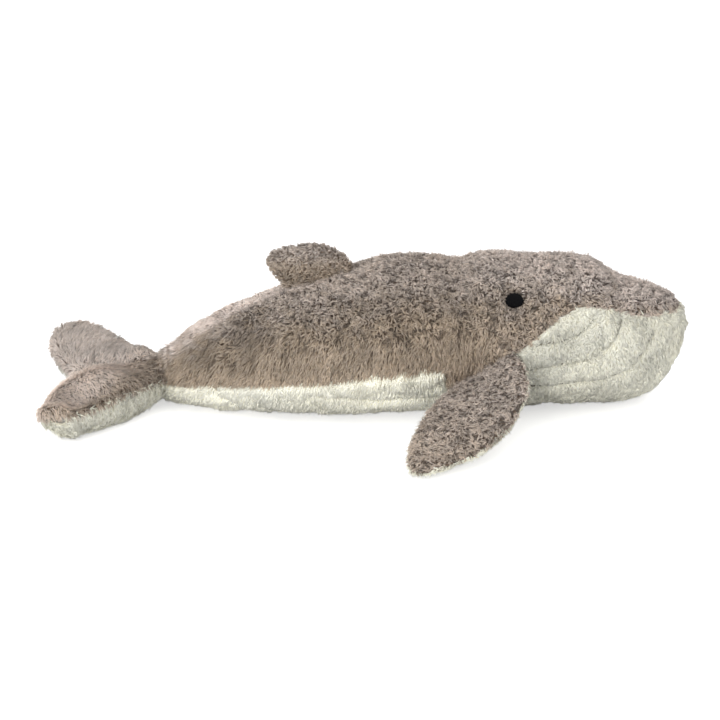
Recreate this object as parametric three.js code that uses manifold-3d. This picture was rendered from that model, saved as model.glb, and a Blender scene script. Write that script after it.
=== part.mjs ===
// A stuffed toy whale lying on its belly: a grey plush back, a cream plush
// belly and throat with sewn pleats, two paddle-shaped side fins, a small fin
// on the back and a two-lobed tail fluke behind a gathered waist.
// Millimetres, +X towards the snout, +Z up, the floor at zero, the right side
// of the whale at negative Y.
import * as THREE from 'three';
import { mergeVertices } from 'three/addons/utils/BufferGeometryUtils.js';
import Module from 'manifold-3d';

const wasm = await Module();
wasm.setup();

// Body, from the gathered waist to the tip of the snout.
const bodyLength = 304;
const bodyHeight = 88;
const bodyWidth = 102;
const belliedFlat = 0.5;      // how far the belly is pressed flat by the floor

// Cloth.
const plushThickness = 4;     // plush with its pile, on the body
const finPlushThickness = 2.6;
const seamGap = 0.3;          // between two sewn edges
const layerGap = 0.3;         // between cloth and filling, and under what lies on the cloth

// Tail fluke.
const flukeReach = 73;        // from the waist to the lobes' tips
const flukeSpan = 128;
const flukeHeight = 14;       // the middle of its rear end above the floor
const flukeNeckHeight = 18.5; // the middle of its waist end above the floor
const flukePivotInset = 2;    // its bend, from the waist towards the snout
const flukeDip = 8;           // how far one lobe leans down and the other up
const flukeHalfThickness = 11;
const flukeNeckHalfHeight = 13.5;
const flukeLift = 3;          // how far both lobes rise towards their tips
const flukeSkew = 3;          // how far the left lobe lies back and the right one forward

// Side fins.
const finReach = 73;
const finSweep = 70;
const finRootHeight = 45;
const finHalfThickness = 8.2;

// Fin on the back.
const backFinLength = 51;
const backFinHeight = 26;
const backFinHalfThickness = 7.5;

// Eyes, embroidered in black thread.
const eyeLength = 10;
const eyeHeight = 8.8;
const eyeRelief = 2.2;

// Pleats sewn into the throat and belly.
const pleatThreadRadius = 0.7;

// Joints, in degrees either way of rest, used to clear what turns.
const flukeDownTurn = 25;
const flukeUpTurn = 40;
const finDownTurn = 30;
const finUpTurn = 60;
const backFinTurn = 40;
const turningGap = 0.35;      // extra room round a seam that bends

const weldDistance = 1e-4;    // corners closer than this are one corner

// How finely the surfaces are divided.
const bodyRings = 30;
const bodySides = 24;
const innerRings = 16;
const innerSides = 14;
const limbRows = 9;
const limbColumns = 8;
const backFinRows = 6;
const flukeRows = 14;

const snoutX = (bodyLength + flukeReach) / 2;
const waistX = snoutX - bodyLength;

// Outline of the body. Each row holds shares of the length from the waist, of
// the height for the top and the underside, of the half width, and how square
// the lower half of the section is (2 is an ellipse).
const bodyRowShares = [
  [-0.013, 0.24, 0.20, 0.04, 2.1],
  [-0.008, 0.31, 0.13, 0.16, 2.1],
  [0.003, 0.355, 0.09, 0.25, 2.2],
  [0.026, 0.425, 0.045, 0.36, 2.3],
  [0.0625, 0.534, 0.011, 0.49, 2.5],
  [0.112, 0.625, 0, 0.627, 2.6],
  [0.178, 0.716, 0, 0.765, 2.7],
  [0.276, 0.841, 0, 0.902, 2.6],
  [0.375, 0.925, 0, 0.98, 2.4],
  [0.457, 0.98, 0, 1, 2.3],
  [0.523, 0.97, 0, 0.98, 2.2],
  [0.566, 0.955, 0, 0.96, 2.2],
  [0.622, 0.995, 0, 0.96, 2.2],
  [0.704, 0.98, 0, 0.94, 2.3],
  [0.803, 0.955, 0, 0.885, 2.4],
  [0.868, 0.856, 0.006, 0.8, 2.5],
  [0.921, 0.79, 0.05, 0.66, 2.4],
  [0.957, 0.735, 0.14, 0.52, 2.3],
  [0.98, 0.69, 0.25, 0.385, 2.2],
  [0.993, 0.63, 0.34, 0.24, 2.2],
  [1, 0.55, 0.44, 0.08, 2.2],
];
const upperSquareness = 2.1;
const widestShare = 0.48;     // where the section is widest, up its own height
const endCrowdingShare = 0.75;

// Seam between the grey back and the cream belly, seen from the side, in
// shares of the body's length and height, from the waist to the snout.
const seamShares = [
  [-0.03, 0.17], [0.013, 0.19], [0.09, 0.227], [0.164, 0.245], [0.24, 0.285],
  [0.312, 0.31], [0.385, 0.345], [0.457, 0.365], [0.522, 0.385], [0.528, 0.225],
  [0.57, 0.3], [0.625, 0.415], [0.664, 0.51], [0.678, 0.545], [0.714, 0.648],
  [0.733, 0.715], [0.753, 0.75], [0.809, 0.73], [0.849, 0.705], [0.891, 0.66],
  [0.931, 0.636], [0.97, 0.625], [1.03, 0.615],
];

// Places on the body, again in shares of its length and height.
const finRootRearShare = [0.533, 0.23];
const finRootFrontShare = [0.664, 0.51];
const eyePlaceShare = [0.651, 0.812];
const backFinFrontShare = 0.3684;
const backFinBaseShare = 0.79;   // the rear end of its seam
const fillingSplitShares = [0.26, 0.63];

// The sewn pleats, from the mouth back, shares as above.
const pleatShares = [
  [[0.799, 0.69], [0.786, 0.645], [0.767, 0.595], [0.745, 0.565], [0.71, 0.55], [0.685, 0.53]],
  [[0.857, 0.665], [0.845, 0.58], [0.825, 0.505], [0.79, 0.43], [0.75, 0.4], [0.7, 0.385],
    [0.655, 0.37]],
  [[0.922, 0.55], [0.9, 0.44], [0.87, 0.345], [0.82, 0.28], [0.76, 0.245], [0.69, 0.22],
    [0.62, 0.2], [0.56, 0.185]],
];

// Right side fin: rows from the seam to the tip. Each holds the share of the
// span, then sweep back, reach out and height for the rear edge and for the
// front edge, then the share of the half thickness.
const finRowShares = [
  [-0.2, 0.53, -0.22, 0.46, 0.05, -0.2, 1.08, 0.22],
  [0, 0.571, -0.04, 0.45, 0.02, 0, 0.98, 0.3],
  [0.12, 0.614, 0.064, 0.45, -0.02, 0.12, 0.89, 0.62],
  [0.25, 0.714, 0.19, 0.43, -0.03, 0.277, 0.74, 0.9],
  [0.5, 0.857, 0.43, 0.35, 0.09, 0.55, 0.46, 1],
  [0.75, 0.965, 0.69, 0.215, 0.33, 0.8, 0.24, 0.86],
  [0.9, 1, 0.87, 0.12, 0.59, 0.94, 0.13, 0.56],
  [1, 0.97, 0.98, 0.08, 0.8, 1, 0.08, 0.05],
];

// Fin on the back: rows from its seam up. Each holds the share of its height,
// then how far back and how high the rear edge and the front edge are, from
// the seam's front end and rear end, then the share of the half thickness.
const backFinRowShares = [
  [-0.25, 0.76, -0.16, 0.02, 0.32, 0.3],
  [0, 0.84, 0.02, 0.02, 0.47, 0.5],
  [0.3, 0.94, 0.28, 0.07, 0.63, 0.93],
  [0.6, 1.02, 0.55, 0.21, 0.81, 1],
  [0.85, 0.97, 0.75, 0.38, 0.92, 0.72],
  [1, 0.84, 0.89, 0.53, 0.96, 0.05],
];

// Tail fluke: rows from the middle out to a lobe's tip. Each holds the share of
// the half span, then how far back and how far out the front edge and the
// rear edge are, then the share of the half thickness, then that of the neck.
const flukeRowShares = [
  [0, 0.0, 0, 0.73, 0, 0.86, 1],
  [0.1, 0.004, 0.08, 0.76, 0.09, 0.92, 0.93],
  [0.2, 0.015, 0.18, 0.81, 0.18, 1, 0.7],
  [0.32, 0.065, 0.33, 0.86, 0.29, 1, 0.25],
  [0.45, 0.165, 0.49, 0.91, 0.4, 1, 0],
  [0.62, 0.32, 0.69, 0.96, 0.56, 0.96, 0],
  [0.78, 0.49, 0.87, 1, 0.7, 0.85, 0],
  [0.9, 0.64, 0.97, 0.99, 0.82, 0.62, 0],
  [1, 0.78, 1, 0.92, 0.93, 0.05, 0],
];

// Colours and finishes.
const greyPlush = new THREE.MeshStandardMaterial({ color: 0x968a80, roughness: 0.95, metalness: 0 });
const creamPlush = new THREE.MeshStandardMaterial({ color: 0xdedfd2, roughness: 0.95, metalness: 0 });
const filling = new THREE.MeshStandardMaterial({ color: 0xf2f0ea, roughness: 1, metalness: 0 });
const blackThread = new THREE.MeshStandardMaterial({ color: 0x1c1b1c, roughness: 0.6, metalness: 0 });
const paleThread = new THREE.MeshStandardMaterial({ color: 0xb9b4a6, roughness: 0.7, metalness: 0 });

const radians = THREE.MathUtils.degToRad;
const vector = (x, y, z) => new THREE.Vector3(x, y, z);

// A smooth curve through rows of numbers, with no overshoot between them. The
// first number of a row is where the row lies.
function smoothRows(rows) {
  const columns = rows[0].length - 1;
  const slopes = [];
  for (let c = 1; c <= columns; c += 1) {
    const steps = rows.slice(1).map((row, i) => (row[c] - rows[i][c]) / (row[0] - rows[i][0]));
    const column = rows.map((row, i) => {
      const before = steps[Math.max(i - 1, 0)];
      const after = steps[Math.min(i, steps.length - 1)];
      return before * after <= 0 ? 0 : (2 * before * after) / (before + after);
    });
    column[0] = steps[0];
    column[column.length - 1] = steps[steps.length - 1];
    slopes.push(column);
  }
  return (at) => {
    let i = 0;
    while (i < rows.length - 2 && at > rows[i + 1][0]) {
      i += 1;
    }
    const width = rows[i + 1][0] - rows[i][0];
    const t = (at - rows[i][0]) / width;
    const beyond = t < 0 || t > 1;
    return slopes.map((slope, k) => {
      const a = rows[i][k + 1];
      const b = rows[i + 1][k + 1];
      if (beyond) {
        return t < 0 ? a + slope[i] * t * width : b + slope[i + 1] * (t - 1) * width;
      }
      const h = t * t * (3 - 2 * t);
      const u = t * (1 - t) * (1 - t);
      const v = t * t * (1 - t);
      return a + (b - a) * h + (slope[i] * u - slope[i + 1] * v) * width;
    });
  };
}

// A geometry from triangles of points: equal points are made one, and
// triangles that have shrunk to a line are left out.
function geometryOfTriangles(triangles) {
  const positions = [];
  for (const corner of triangles) {
    positions.push(corner.x, corner.y, corner.z);
  }
  const loose = new THREE.BufferGeometry();
  loose.setAttribute('position', new THREE.Float32BufferAttribute(positions, 3));
  const merged = mergeVertices(loose, weldDistance);
  const index = merged.getIndex().array;
  const kept = [];
  for (let i = 0; i < index.length; i += 3) {
    const [a, b, c] = [index[i], index[i + 1], index[i + 2]];
    if (a !== b && b !== c && c !== a) {
      kept.push(a, b, c);
    }
  }
  merged.setIndex(kept);
  return merged;
}

// A solid skinned over rings of points, each ring running the same way, with
// its two ends closed at their middles.
function loft(rings) {
  const triangles = [];
  const sides = rings[0].length;
  for (let i = 0; i < rings.length - 1; i += 1) {
    for (let j = 0; j < sides; j += 1) {
      const k = (j + 1) % sides;
      triangles.push(rings[i][j], rings[i][k], rings[i + 1][k]);
      triangles.push(rings[i][j], rings[i + 1][k], rings[i + 1][j]);
    }
  }
  for (const [ring, first] of [[rings[0], true], [rings[rings.length - 1], false]]) {
    const middle = vector(0, 0, 0);
    ring.forEach((point) => middle.addScaledVector(point, 1 / sides));
    for (let j = 0; j < sides; j += 1) {
      const k = (j + 1) % sides;
      triangles.push(middle, first ? ring[k] : ring[j], first ? ring[j] : ring[k]);
    }
  }
  return geometryOfTriangles(triangles);
}

// A solid between an upper and a lower grid of points of the same size.
function betweenGrids(upper, lower) {
  const triangles = [];
  const rows = upper.length;
  const columns = upper[0].length;
  const quad = (a, b, c, d) => triangles.push(a, b, c, a, c, d);
  for (let i = 0; i < rows - 1; i += 1) {
    for (let j = 0; j < columns - 1; j += 1) {
      quad(upper[i][j], upper[i + 1][j], upper[i + 1][j + 1], upper[i][j + 1]);
      quad(lower[i][j], lower[i][j + 1], lower[i + 1][j + 1], lower[i + 1][j]);
    }
  }
  const last = columns - 1;
  const end = rows - 1;
  for (let i = 0; i < end; i += 1) {
    quad(upper[i][0], lower[i][0], lower[i + 1][0], upper[i + 1][0]);
    quad(upper[i + 1][last], lower[i + 1][last], lower[i][last], upper[i][last]);
  }
  for (let j = 0; j < last; j += 1) {
    quad(upper[0][j + 1], lower[0][j + 1], lower[0][j], upper[0][j]);
    quad(upper[end][j], lower[end][j], lower[end][j + 1], upper[end][j + 1]);
  }
  return geometryOfTriangles(triangles);
}

function toSolid(geometry) {
  const bare = geometry.clone();
  bare.deleteAttribute('normal');
  bare.deleteAttribute('uv');
  const merged = mergeVertices(bare, weldDistance);
  return new wasm.Manifold(new wasm.Mesh({
    numProp: 3,
    vertProperties: new Float32Array(merged.getAttribute('position').array),
    triVerts: new Uint32Array(merged.getIndex().array),
  }));
}

function toGeometry(solid) {
  const mesh = solid.getMesh();
  const geometry = new THREE.BufferGeometry();
  geometry.setAttribute('position', new THREE.BufferAttribute(new Float32Array(mesh.vertProperties), 3));
  geometry.setIndex(Array.from(mesh.triVerts));
  return geometry;
}

// A geometry turned by an angle in degrees about an axis through a point.
function turned(geometry, point, axis, degrees) {
  const copy = geometry.clone();
  copy.translate(-point.x, -point.y, -point.z);
  copy.applyMatrix4(new THREE.Matrix4().makeRotationAxis(axis.clone().normalize(), radians(degrees)));
  copy.translate(point.x, point.y, point.z);
  return copy;
}

// The body's surface.
const bodyRow = smoothRows(bodyRowShares);
const bodyFirstShare = bodyRowShares[0][0];
const bodyHalfWidth = bodyWidth / 2;

function bodyMeasures(share, inset) {
  const [top, underside, half, squareness] = bodyRow(share);
  const high = top * bodyHeight - inset;
  const low = underside * bodyHeight + inset - belliedFlat;
  return {
    high: Math.max(high, (top * bodyHeight + low) / 2),
    low: Math.min(low, (top + underside) * bodyHeight / 2),
    half: Math.max(half * bodyHalfWidth - inset, half * bodyHalfWidth / 6),
    squareness,
  };
}

function bodyRing(share, inset, sides) {
  const { high, low, half, squareness } = bodyMeasures(share, inset);
  const middle = low + widestShare * (high - low);
  const start = waistX + bodyFirstShare * bodyLength + inset;
  const run = bodyLength * (1 - bodyFirstShare) - 2 * inset;
  const x = start + run * (share - bodyFirstShare) / (1 - bodyFirstShare);
  const ring = [];
  for (let j = 0; j < sides; j += 1) {
    const angle = (2 * Math.PI * j) / sides;
    const power = 2 / (Math.sin(angle) >= 0 ? upperSquareness : squareness);
    const across = Math.sign(Math.cos(angle)) * Math.abs(Math.cos(angle)) ** power;
    const up = Math.abs(Math.sin(angle)) ** power;
    const z = Math.sin(angle) >= 0 ? middle + up * (high - middle) : middle - up * (middle - low);
    ring.push(vector(x, half * across, z));
  }
  return ring;
}

// The body's outer form drawn in by an inset, with its rings closer together
// near the two ends, where it curves most.
function bodyForm(inset, rings, sides) {
  const list = [];
  for (let i = 0; i <= rings; i += 1) {
    const t = i / rings;
    const eased = t - Math.sin(2 * Math.PI * t) / (2 * Math.PI) * endCrowdingShare;
    list.push(bodyRing(bodyFirstShare + (1 - bodyFirstShare) * eased, inset, sides));
  }
  return loft(list);
}

// The point of the right flank at a share of the body's length and height.
function flankPoint(place, outset) {
  const x = waistX + place[0] * bodyLength;
  const { high, low, half, squareness } = bodyMeasures(place[0], 0);
  const z = place[1] * bodyHeight;
  const middle = low + widestShare * (high - low);
  const rise = z >= middle ? (z - middle) / (high - middle) : (middle - z) / (middle - low);
  const power = z >= middle ? upperSquareness : squareness;
  const y = half * (1 - Math.min(rise, 1) ** power) ** (1 / power);
  const point = vector(x, -y, z);
  const slope = power - 1;
  const height = z >= middle ? high - middle : middle - low;
  const normal = vector(0, -((y / half) ** slope) / half, Math.sign(z - middle) * rise ** slope / height);
  normal.normalize();
  return point.addScaledVector(normal, outset);
}

function flankNormal(place) {
  return flankPoint(place, 1).sub(flankPoint(place, 0)).normalize();
}

// The side view of the seam, moved sideways by half a seam's gap.
function seamLine(offset) {
  const points = seamShares.map(([along, up]) => new THREE.Vector2(waistX + along * bodyLength,
    up * bodyHeight));
  return points.map((point, i) => {
    const before = points[Math.max(i - 1, 0)];
    const after = points[Math.min(i + 1, points.length - 1)];
    const run = after.clone().sub(before).normalize();
    return new THREE.Vector2(point.x - run.y * offset, point.y + run.x * offset);
  });
}

// The room above or below the seam, across the whole width.
function seamRoom(above) {
  const line = seamLine(above ? seamGap / 2 : -seamGap / 2);
  const far = above ? 2 * bodyHeight : -bodyHeight;
  const ends = [line[line.length - 1], line[0]].map((end) => new THREE.Vector2(end.x, far));
  const outline = new THREE.Shape([...line, ...ends]);
  const room = new THREE.ExtrudeGeometry(outline, { depth: 2 * bodyWidth, bevelEnabled: false });
  room.rotateX(Math.PI / 2);
  room.translate(0, bodyWidth, 0);
  return toSolid(room);
}

// A block between two planes across X, Y or Z.
function slab(low, high) {
  const size = high.clone().sub(low);
  const block = new THREE.BoxGeometry(size.x, size.y, size.z);
  block.translate((low.x + high.x) / 2, (low.y + high.y) / 2, (low.z + high.z) / 2);
  return toSolid(block);
}
const farX = bodyLength;
const farY = bodyWidth * 2;
const farZ = bodyHeight * 2;

const aboveFloor = slab(vector(-farX, -farY, 0), vector(farX, farY, farZ));
const rightSide = slab(vector(-farX, -farY, -farZ), vector(farX, -seamGap / 2, farZ));
const leftSide = slab(vector(-farX, seamGap / 2, -farZ), vector(farX, farY, farZ));

// A round thread along points.
function strand(points, steps) {
  const outline = [];
  for (let j = 0; j < strandSides; j += 1) {
    const angle = (2 * Math.PI * j) / strandSides;
    outline.push(new THREE.Vector2(pleatThreadRadius * Math.cos(angle), pleatThreadRadius * Math.sin(angle)));
  }
  const extrudePath = new THREE.CatmullRomCurve3(points, false, 'centripetal');
  const section = new THREE.Shape(outline);
  return toSolid(new THREE.ExtrudeGeometry(section, { extrudePath, steps, bevelEnabled: false }));
}
const strandSides = 5;
const pleatStepsPerPoint = 2;

const mirrored = (point) => vector(point.x, -point.y, point.z);

function pleat(places, left) {
  const points = places.map((place) => flankPoint(place, layerGap + pleatThreadRadius));
  return strand(left ? points.map(mirrored) : points, places.length * pleatStepsPerPoint);
}

// The three panels of the body.
const bodyOuter = toSolid(bodyForm(0, bodyRings, bodySides));
const bodyInner = toSolid(bodyForm(plushThickness, innerRings, innerSides));
const bodyShell = bodyOuter.subtract(bodyInner).intersect(aboveFloor);
const backShell = bodyShell.intersect(seamRoom(true));
const flankRight = backShell.intersect(rightSide);
const flankLeft = backShell.intersect(leftSide);

const bellyPanel = bodyShell.intersect(seamRoom(false));

// The filling, in three handfuls.
const fillingForm = toSolid(bodyForm(plushThickness + layerGap, innerRings, innerSides));
const fillingSplits = fillingSplitShares.map((share) => waistX + share * bodyLength);

function bodyFilling(fromX, toX) {
  const room = slab(vector(fromX, -farY, -farZ), vector(toX, farY, farZ));
  return fillingForm.intersect(room);
}

// What a limb's root may not enter: the body with a little room round it, at
// rest and at each of the angles that the limb turns through.
const bodyClearance = bodyForm(-layerGap, bodyRings, bodySides);
const bodyTurnClearance = bodyForm(-turningGap, bodyRings, bodySides);
const turnSteps = 3;

function clearOfBody(solid, point, axis, lowest, highest) {
  let result = solid.subtract(toSolid(bodyClearance));
  for (let i = 0; i <= turnSteps; i += 1) {
    const angle = lowest + (highest - lowest) * i / turnSteps;
    result = result.subtract(toSolid(turned(bodyTurnClearance, point, axis, -angle)));
  }
  return result;
}

// A limb is a pillow round a middle sheet. The sheet is given by two edges,
// and the pillow's half thickness falls to nothing at them.
const pillowPower = 2.2;
const slopeShare = 0.001;

function limbFrame(limb, span, chord) {
  const point = limb.sheet(span, chord);
  const alongSpan = limb.sheet(span + slopeShare, chord).sub(limb.sheet(span - slopeShare, chord));
  const alongChord = limb.sheet(span, chord + slopeShare).sub(limb.sheet(span, chord - slopeShare));
  return { point, normal: alongSpan.cross(alongChord).normalize() };
}

function limbGrid(limb, side, spans, chords, height) {
  return spans.map((span) => chords.map((chord) => {
    const { point, normal } = limbFrame(limb, span, chord);
    return point.addScaledVector(normal, side * height(span, chord));
  }));
}

function evenSteps(from, to, count) {
  return Array.from({ length: count + 1 }, (_, i) => from + (to - from) * i / count);
}

// Steps from edge to edge across a limb, closer together near the edges.
function chordSteps(count, reach) {
  return evenSteps(-1, 1, count).map((t) => reach * Math.sin(t * Math.PI / 2));
}

// The whole pillow, drawn in on all sides by an inset.
function limbForm(limb, inset, rows, columns) {
  const shrink = inset / limb.length;
  const first = inset > 0 ? limb.firstSpanShare + shrink + limb.hemShare : limb.firstSpanShare;
  const spans = evenSteps(first, 1 - shrink, rows);
  const round = (t) => Math.max(1 - Math.abs(t) ** pillowPower, 0) ** (1 / pillowPower);
  const grid = (side) => spans.map((span) => {
    const reach = 1 - inset / limb.halfChord(span);
    return chordSteps(columns, 1).map((t) => {
      const { point, normal } = limbFrame(limb, span, t * reach);
      const full = limb.thickness(span, t * reach, round(t));
      const height = inset > 0 ? Math.max(full - inset, full / 8) * (round(t) > 0 ? 1 : 0) : full;
      return point.addScaledVector(normal, side * height);
    });
  });
  return toSolid(betweenGrids(grid(1), grid(-1)));
}

// The room on one side of the middle sheet, reaching past its edges.
function limbRoom(limb, side) {
  const spans = evenSteps(limb.roomSpanShares[0], limb.roomSpanShares[1], limb.rows);
  const chords = chordSteps(limbColumns, limb.roomReachShare);
  const near = limbGrid(limb, side, spans, chords, () => seamGap / 2);
  const far = limbGrid(limb, side, spans, chords, () => 4 * limb.halfThickness);
  return toSolid(side > 0 ? betweenGrids(far, near) : betweenGrids(near, far));
}

// Upper cloth, lower cloth and filling of a limb whose root is cut by a
// function given with it.
function limbPieces(limb) {
  const outer = limbForm(limb, 0, limb.rows, limbColumns);
  const inner = limbForm(limb, finPlushThickness, limb.rows - 2, limbColumns - 2);
  const core = limbForm(limb, finPlushThickness + layerGap, limb.rows - 2, limbColumns - 2);
  const shell = outer.subtract(inner);
  return {
    upper: limb.cut(shell.intersect(limbRoom(limb, 1))),
    lower: limb.cut(shell.intersect(limbRoom(limb, -1))),
    core: limb.cut(core),
  };
}

const flip = (solid) => {
  const geometry = toGeometry(solid);
  geometry.scale(1, -1, 1);
  const index = geometry.getIndex().array;
  const turnedOver = [];
  for (let i = 0; i < index.length; i += 3) {
    turnedOver.push(index[i], index[i + 2], index[i + 1]);
  }
  geometry.setIndex(turnedOver);
  return toSolid(geometry);
};

// Right side fin.
const finRow = smoothRows(finRowShares);
const finRootRear = flankPoint(finRootRearShare, layerGap);
const finRootFront = flankPoint(finRootFrontShare, layerGap);
const finAxis = finRootFront.clone().sub(finRootRear).normalize();
const finPivot = finRootRear.clone().add(finRootFront).multiplyScalar(1 / 2);

const sideFin = {
  rows: limbRows,
  halfThickness: finHalfThickness,
  length: finReach + finSweep / 2,
  firstSpanShare: finRowShares[0][0],
  hemShare: 0.26,
  roomSpanShares: [finRowShares[0][0] - 0.05, 1.04],
  roomReachShare: 1.15,
  edges(span) {
    const [backRear, outRear, upRear, backFront, outFront, upFront] = finRow(span);
    return [[backRear, outRear, upRear], [backFront, outFront, upFront]].map(([back, out, up]) => vector(
      finRootFront.x - back * finSweep, finRootFront.y - out * finReach, up * finRootHeight));
  },
  sheet(span, chord) {
    const [rear, front] = this.edges(span);
    return rear.lerp(front, (chord + 1) / 2);
  },
  halfChord(span) {
    const [rear, front] = this.edges(span);
    return rear.distanceTo(front) / 2;
  },
  thickness(span, chord, round) {
    return Math.max(finRow(span)[6], 0) * finHalfThickness * round;
  },
  cut(solid) {
    return clearOfBody(solid, finPivot, finAxis, -finUpTurn, finDownTurn).intersect(aboveFloor);
  },
};

// Fin on the back, its middle sheet upright along the body.
const backFinRow = smoothRows(backFinRowShares);
const backFinFrontX = waistX + backFinFrontShare * bodyLength;
const backFinBaseHeight = backFinBaseShare * bodyHeight;
const backFin = {
  rows: backFinRows,
  halfThickness: backFinHalfThickness,
  length: backFinHeight,
  firstSpanShare: backFinRowShares[0][0],
  hemShare: 0.1,
  roomSpanShares: [backFinRowShares[0][0] - 0.05, 1.06],
  roomReachShare: 1.15,
  edges(span) {
    const [backRear, upRear, backFront, upFront] = backFinRow(span);
    return [[backRear, upRear], [backFront, upFront]].map(([back, up]) => vector(
      backFinFrontX - back * backFinLength, 0, backFinBaseHeight + up * backFinHeight));
  },
  sheet(span, chord) {
    const [rear, front] = this.edges(span);
    return rear.lerp(front, (chord + 1) / 2);
  },
  halfChord(span) {
    const [rear, front] = this.edges(span);
    return rear.distanceTo(front) / 2;
  },
  thickness(span, chord, round) {
    return Math.max(backFinRow(span)[4], 0) * backFinHalfThickness * round;
  },
  cut(solid) {
    return clearOfBody(solid, backFinPivot, backFinAxis, -backFinTurn, backFinTurn);
  },
};
const backFinRootEnds = backFin.edges(0);
const backFinAxis = backFinRootEnds[1].clone().sub(backFinRootEnds[0]).normalize();
const backFinPivot = backFinRootEnds[0].clone().add(backFinRootEnds[1]).multiplyScalar(1 / 2);

// Tail fluke. The span runs from the left lobe's tip, at minus one, to the
// right one's.
const flukeRow = smoothRows(flukeRowShares);
const flukePivot = vector(waistX + flukePivotInset, 0, flukeNeckHeight);
const fluke = {
  halfThickness: flukeHalfThickness,
  length: flukeSpan / 2,
  firstSpanShare: -1,
  hemShare: 0,
  roomSpanShares: [-1.03, 1.03],
  roomReachShare: 1.12,
  rows: flukeRows,
  edges(span) {
    const side = Math.sign(span) || 1;
    const [backFront, outFront, backRear, outRear] = flukeRow(Math.abs(span));
    return [[backRear, outRear], [backFront, outFront]].map(([back, out]) => {
      const y = -side * out * flukeSpan / 2;
      const lean = flukeLift * out - flukeDip * side * out * out;
      const neckRise = (1 - back) * (flukeNeckHeight - flukeHeight) * Math.max(1 - 2 * out, 0);
      const lag = back * (flukeReach - flukeSkew) - flukeSkew * side * out;
      return vector(waistX - lag, y, flukeHeight + lean + neckRise);
    });
  },
  sheet(span, chord) {
    const [rear, front] = this.edges(span);
    return rear.lerp(front, (chord + 1) / 2);
  },
  halfChord(span) {
    const [rear, front] = this.edges(span);
    return rear.distanceTo(front) / 2;
  },
  thickness(span, chord, round) {
    const [, , , , thick, neck] = flukeRow(Math.abs(span));
    const lobes = Math.max(thick, 0) * flukeHalfThickness * round;
    const towardsNeck = Math.max(chord, 0) ** 2 * Math.max(neck, 0);
    return lobes * (1 - towardsNeck) + flukeNeckHalfHeight * towardsNeck * Math.max(neck, 0);
  },
  cut(solid) {
    return clearOfBody(solid, flukePivot, vector(0, 1, 0), -flukeDownTurn, flukeUpTurn).intersect(aboveFloor);
  },
};

// An eye: a low mound of thread on the flank.
function eyeMound() {
  const place = flankPoint(eyePlaceShare, 0);
  const normal = flankNormal(eyePlaceShare);
  const mound = new THREE.SphereGeometry(1, 14, 8);
  mound.scale(eyeLength / 2, eyeHeight / 2, eyeRelief);
  const across = vector(1, 0, 0);
  const upward = normal.clone().cross(across).normalize();
  mound.applyMatrix4(new THREE.Matrix4().makeBasis(across, upward, normal));
  mound.translate(place.x, place.y, place.z);
  return toSolid(mound).subtract(toSolid(bodyClearance));
}

const whale = new THREE.Group();

function add(name, solid, material) {
  const mesh = new THREE.Mesh(toGeometry(solid), material);
  mesh.name = name;
  whale.add(mesh);
}

add('flank_panel_right', flankRight, greyPlush);
add('flank_panel_left', flankLeft, greyPlush);
add('belly_panel', bellyPanel, creamPlush);
add('tail_stuffing', bodyFilling(-farX, fillingSplits[0] - layerGap / 2), filling);
add('body_stuffing', bodyFilling(fillingSplits[0] + layerGap / 2, fillingSplits[1] - layerGap / 2), filling);
add('head_stuffing', bodyFilling(fillingSplits[1] + layerGap / 2, farX), filling);

const eye = eyeMound();
add('eye_right', eye, blackThread);
add('eye_left', flip(eye), blackThread);

pleatShares.forEach((places, i) => {
  add(`throat_pleat_right_${i + 1}`, pleat(places, false), paleThread);
  add(`throat_pleat_left_${i + 1}`, pleat(places, true), paleThread);
});

const finPieces = limbPieces(sideFin);
add('fin_right_upper_panel', finPieces.upper, greyPlush);
add('fin_right_lower_panel', finPieces.lower, creamPlush);
add('fin_right_stuffing', finPieces.core, filling);
add('fin_left_upper_panel', flip(finPieces.upper), greyPlush);
add('fin_left_lower_panel', flip(finPieces.lower), creamPlush);
add('fin_left_stuffing', flip(finPieces.core), filling);

const backFinPieces = limbPieces(backFin);
add('back_fin_left_panel', backFinPieces.upper, greyPlush);
add('back_fin_right_panel', backFinPieces.lower, greyPlush);
add('back_fin_stuffing', backFinPieces.core, filling);

const flukePieces = limbPieces(fluke);
add('fluke_upper_panel', flukePieces.upper, greyPlush);
add('fluke_lower_panel', flukePieces.lower, creamPlush);
add('fluke_stuffing_right', flukePieces.core.intersect(rightSide), filling);
add('fluke_stuffing_left', flukePieces.core.intersect(leftSide), filling);

// The origin lies under the middle of the whole length.
const extent = new THREE.Box3().setFromObject(whale);
whale.position.x = -(extent.min.x + extent.max.x) / 2;

export default whale;
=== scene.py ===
"""A stuffed toy whale in curly plush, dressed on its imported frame.

Metres, +X towards the snout, +Z up, the right side of the whale at negative Y.
Each panel is a cloth shell with its pile on it: every lock of pile is a few
tapered strands of real mesh, combed or curled as the toy shows.
"""
import math

import bpy
import numpy as np
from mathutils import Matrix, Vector
from mathutils.bvhtree import BVHTree


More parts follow.
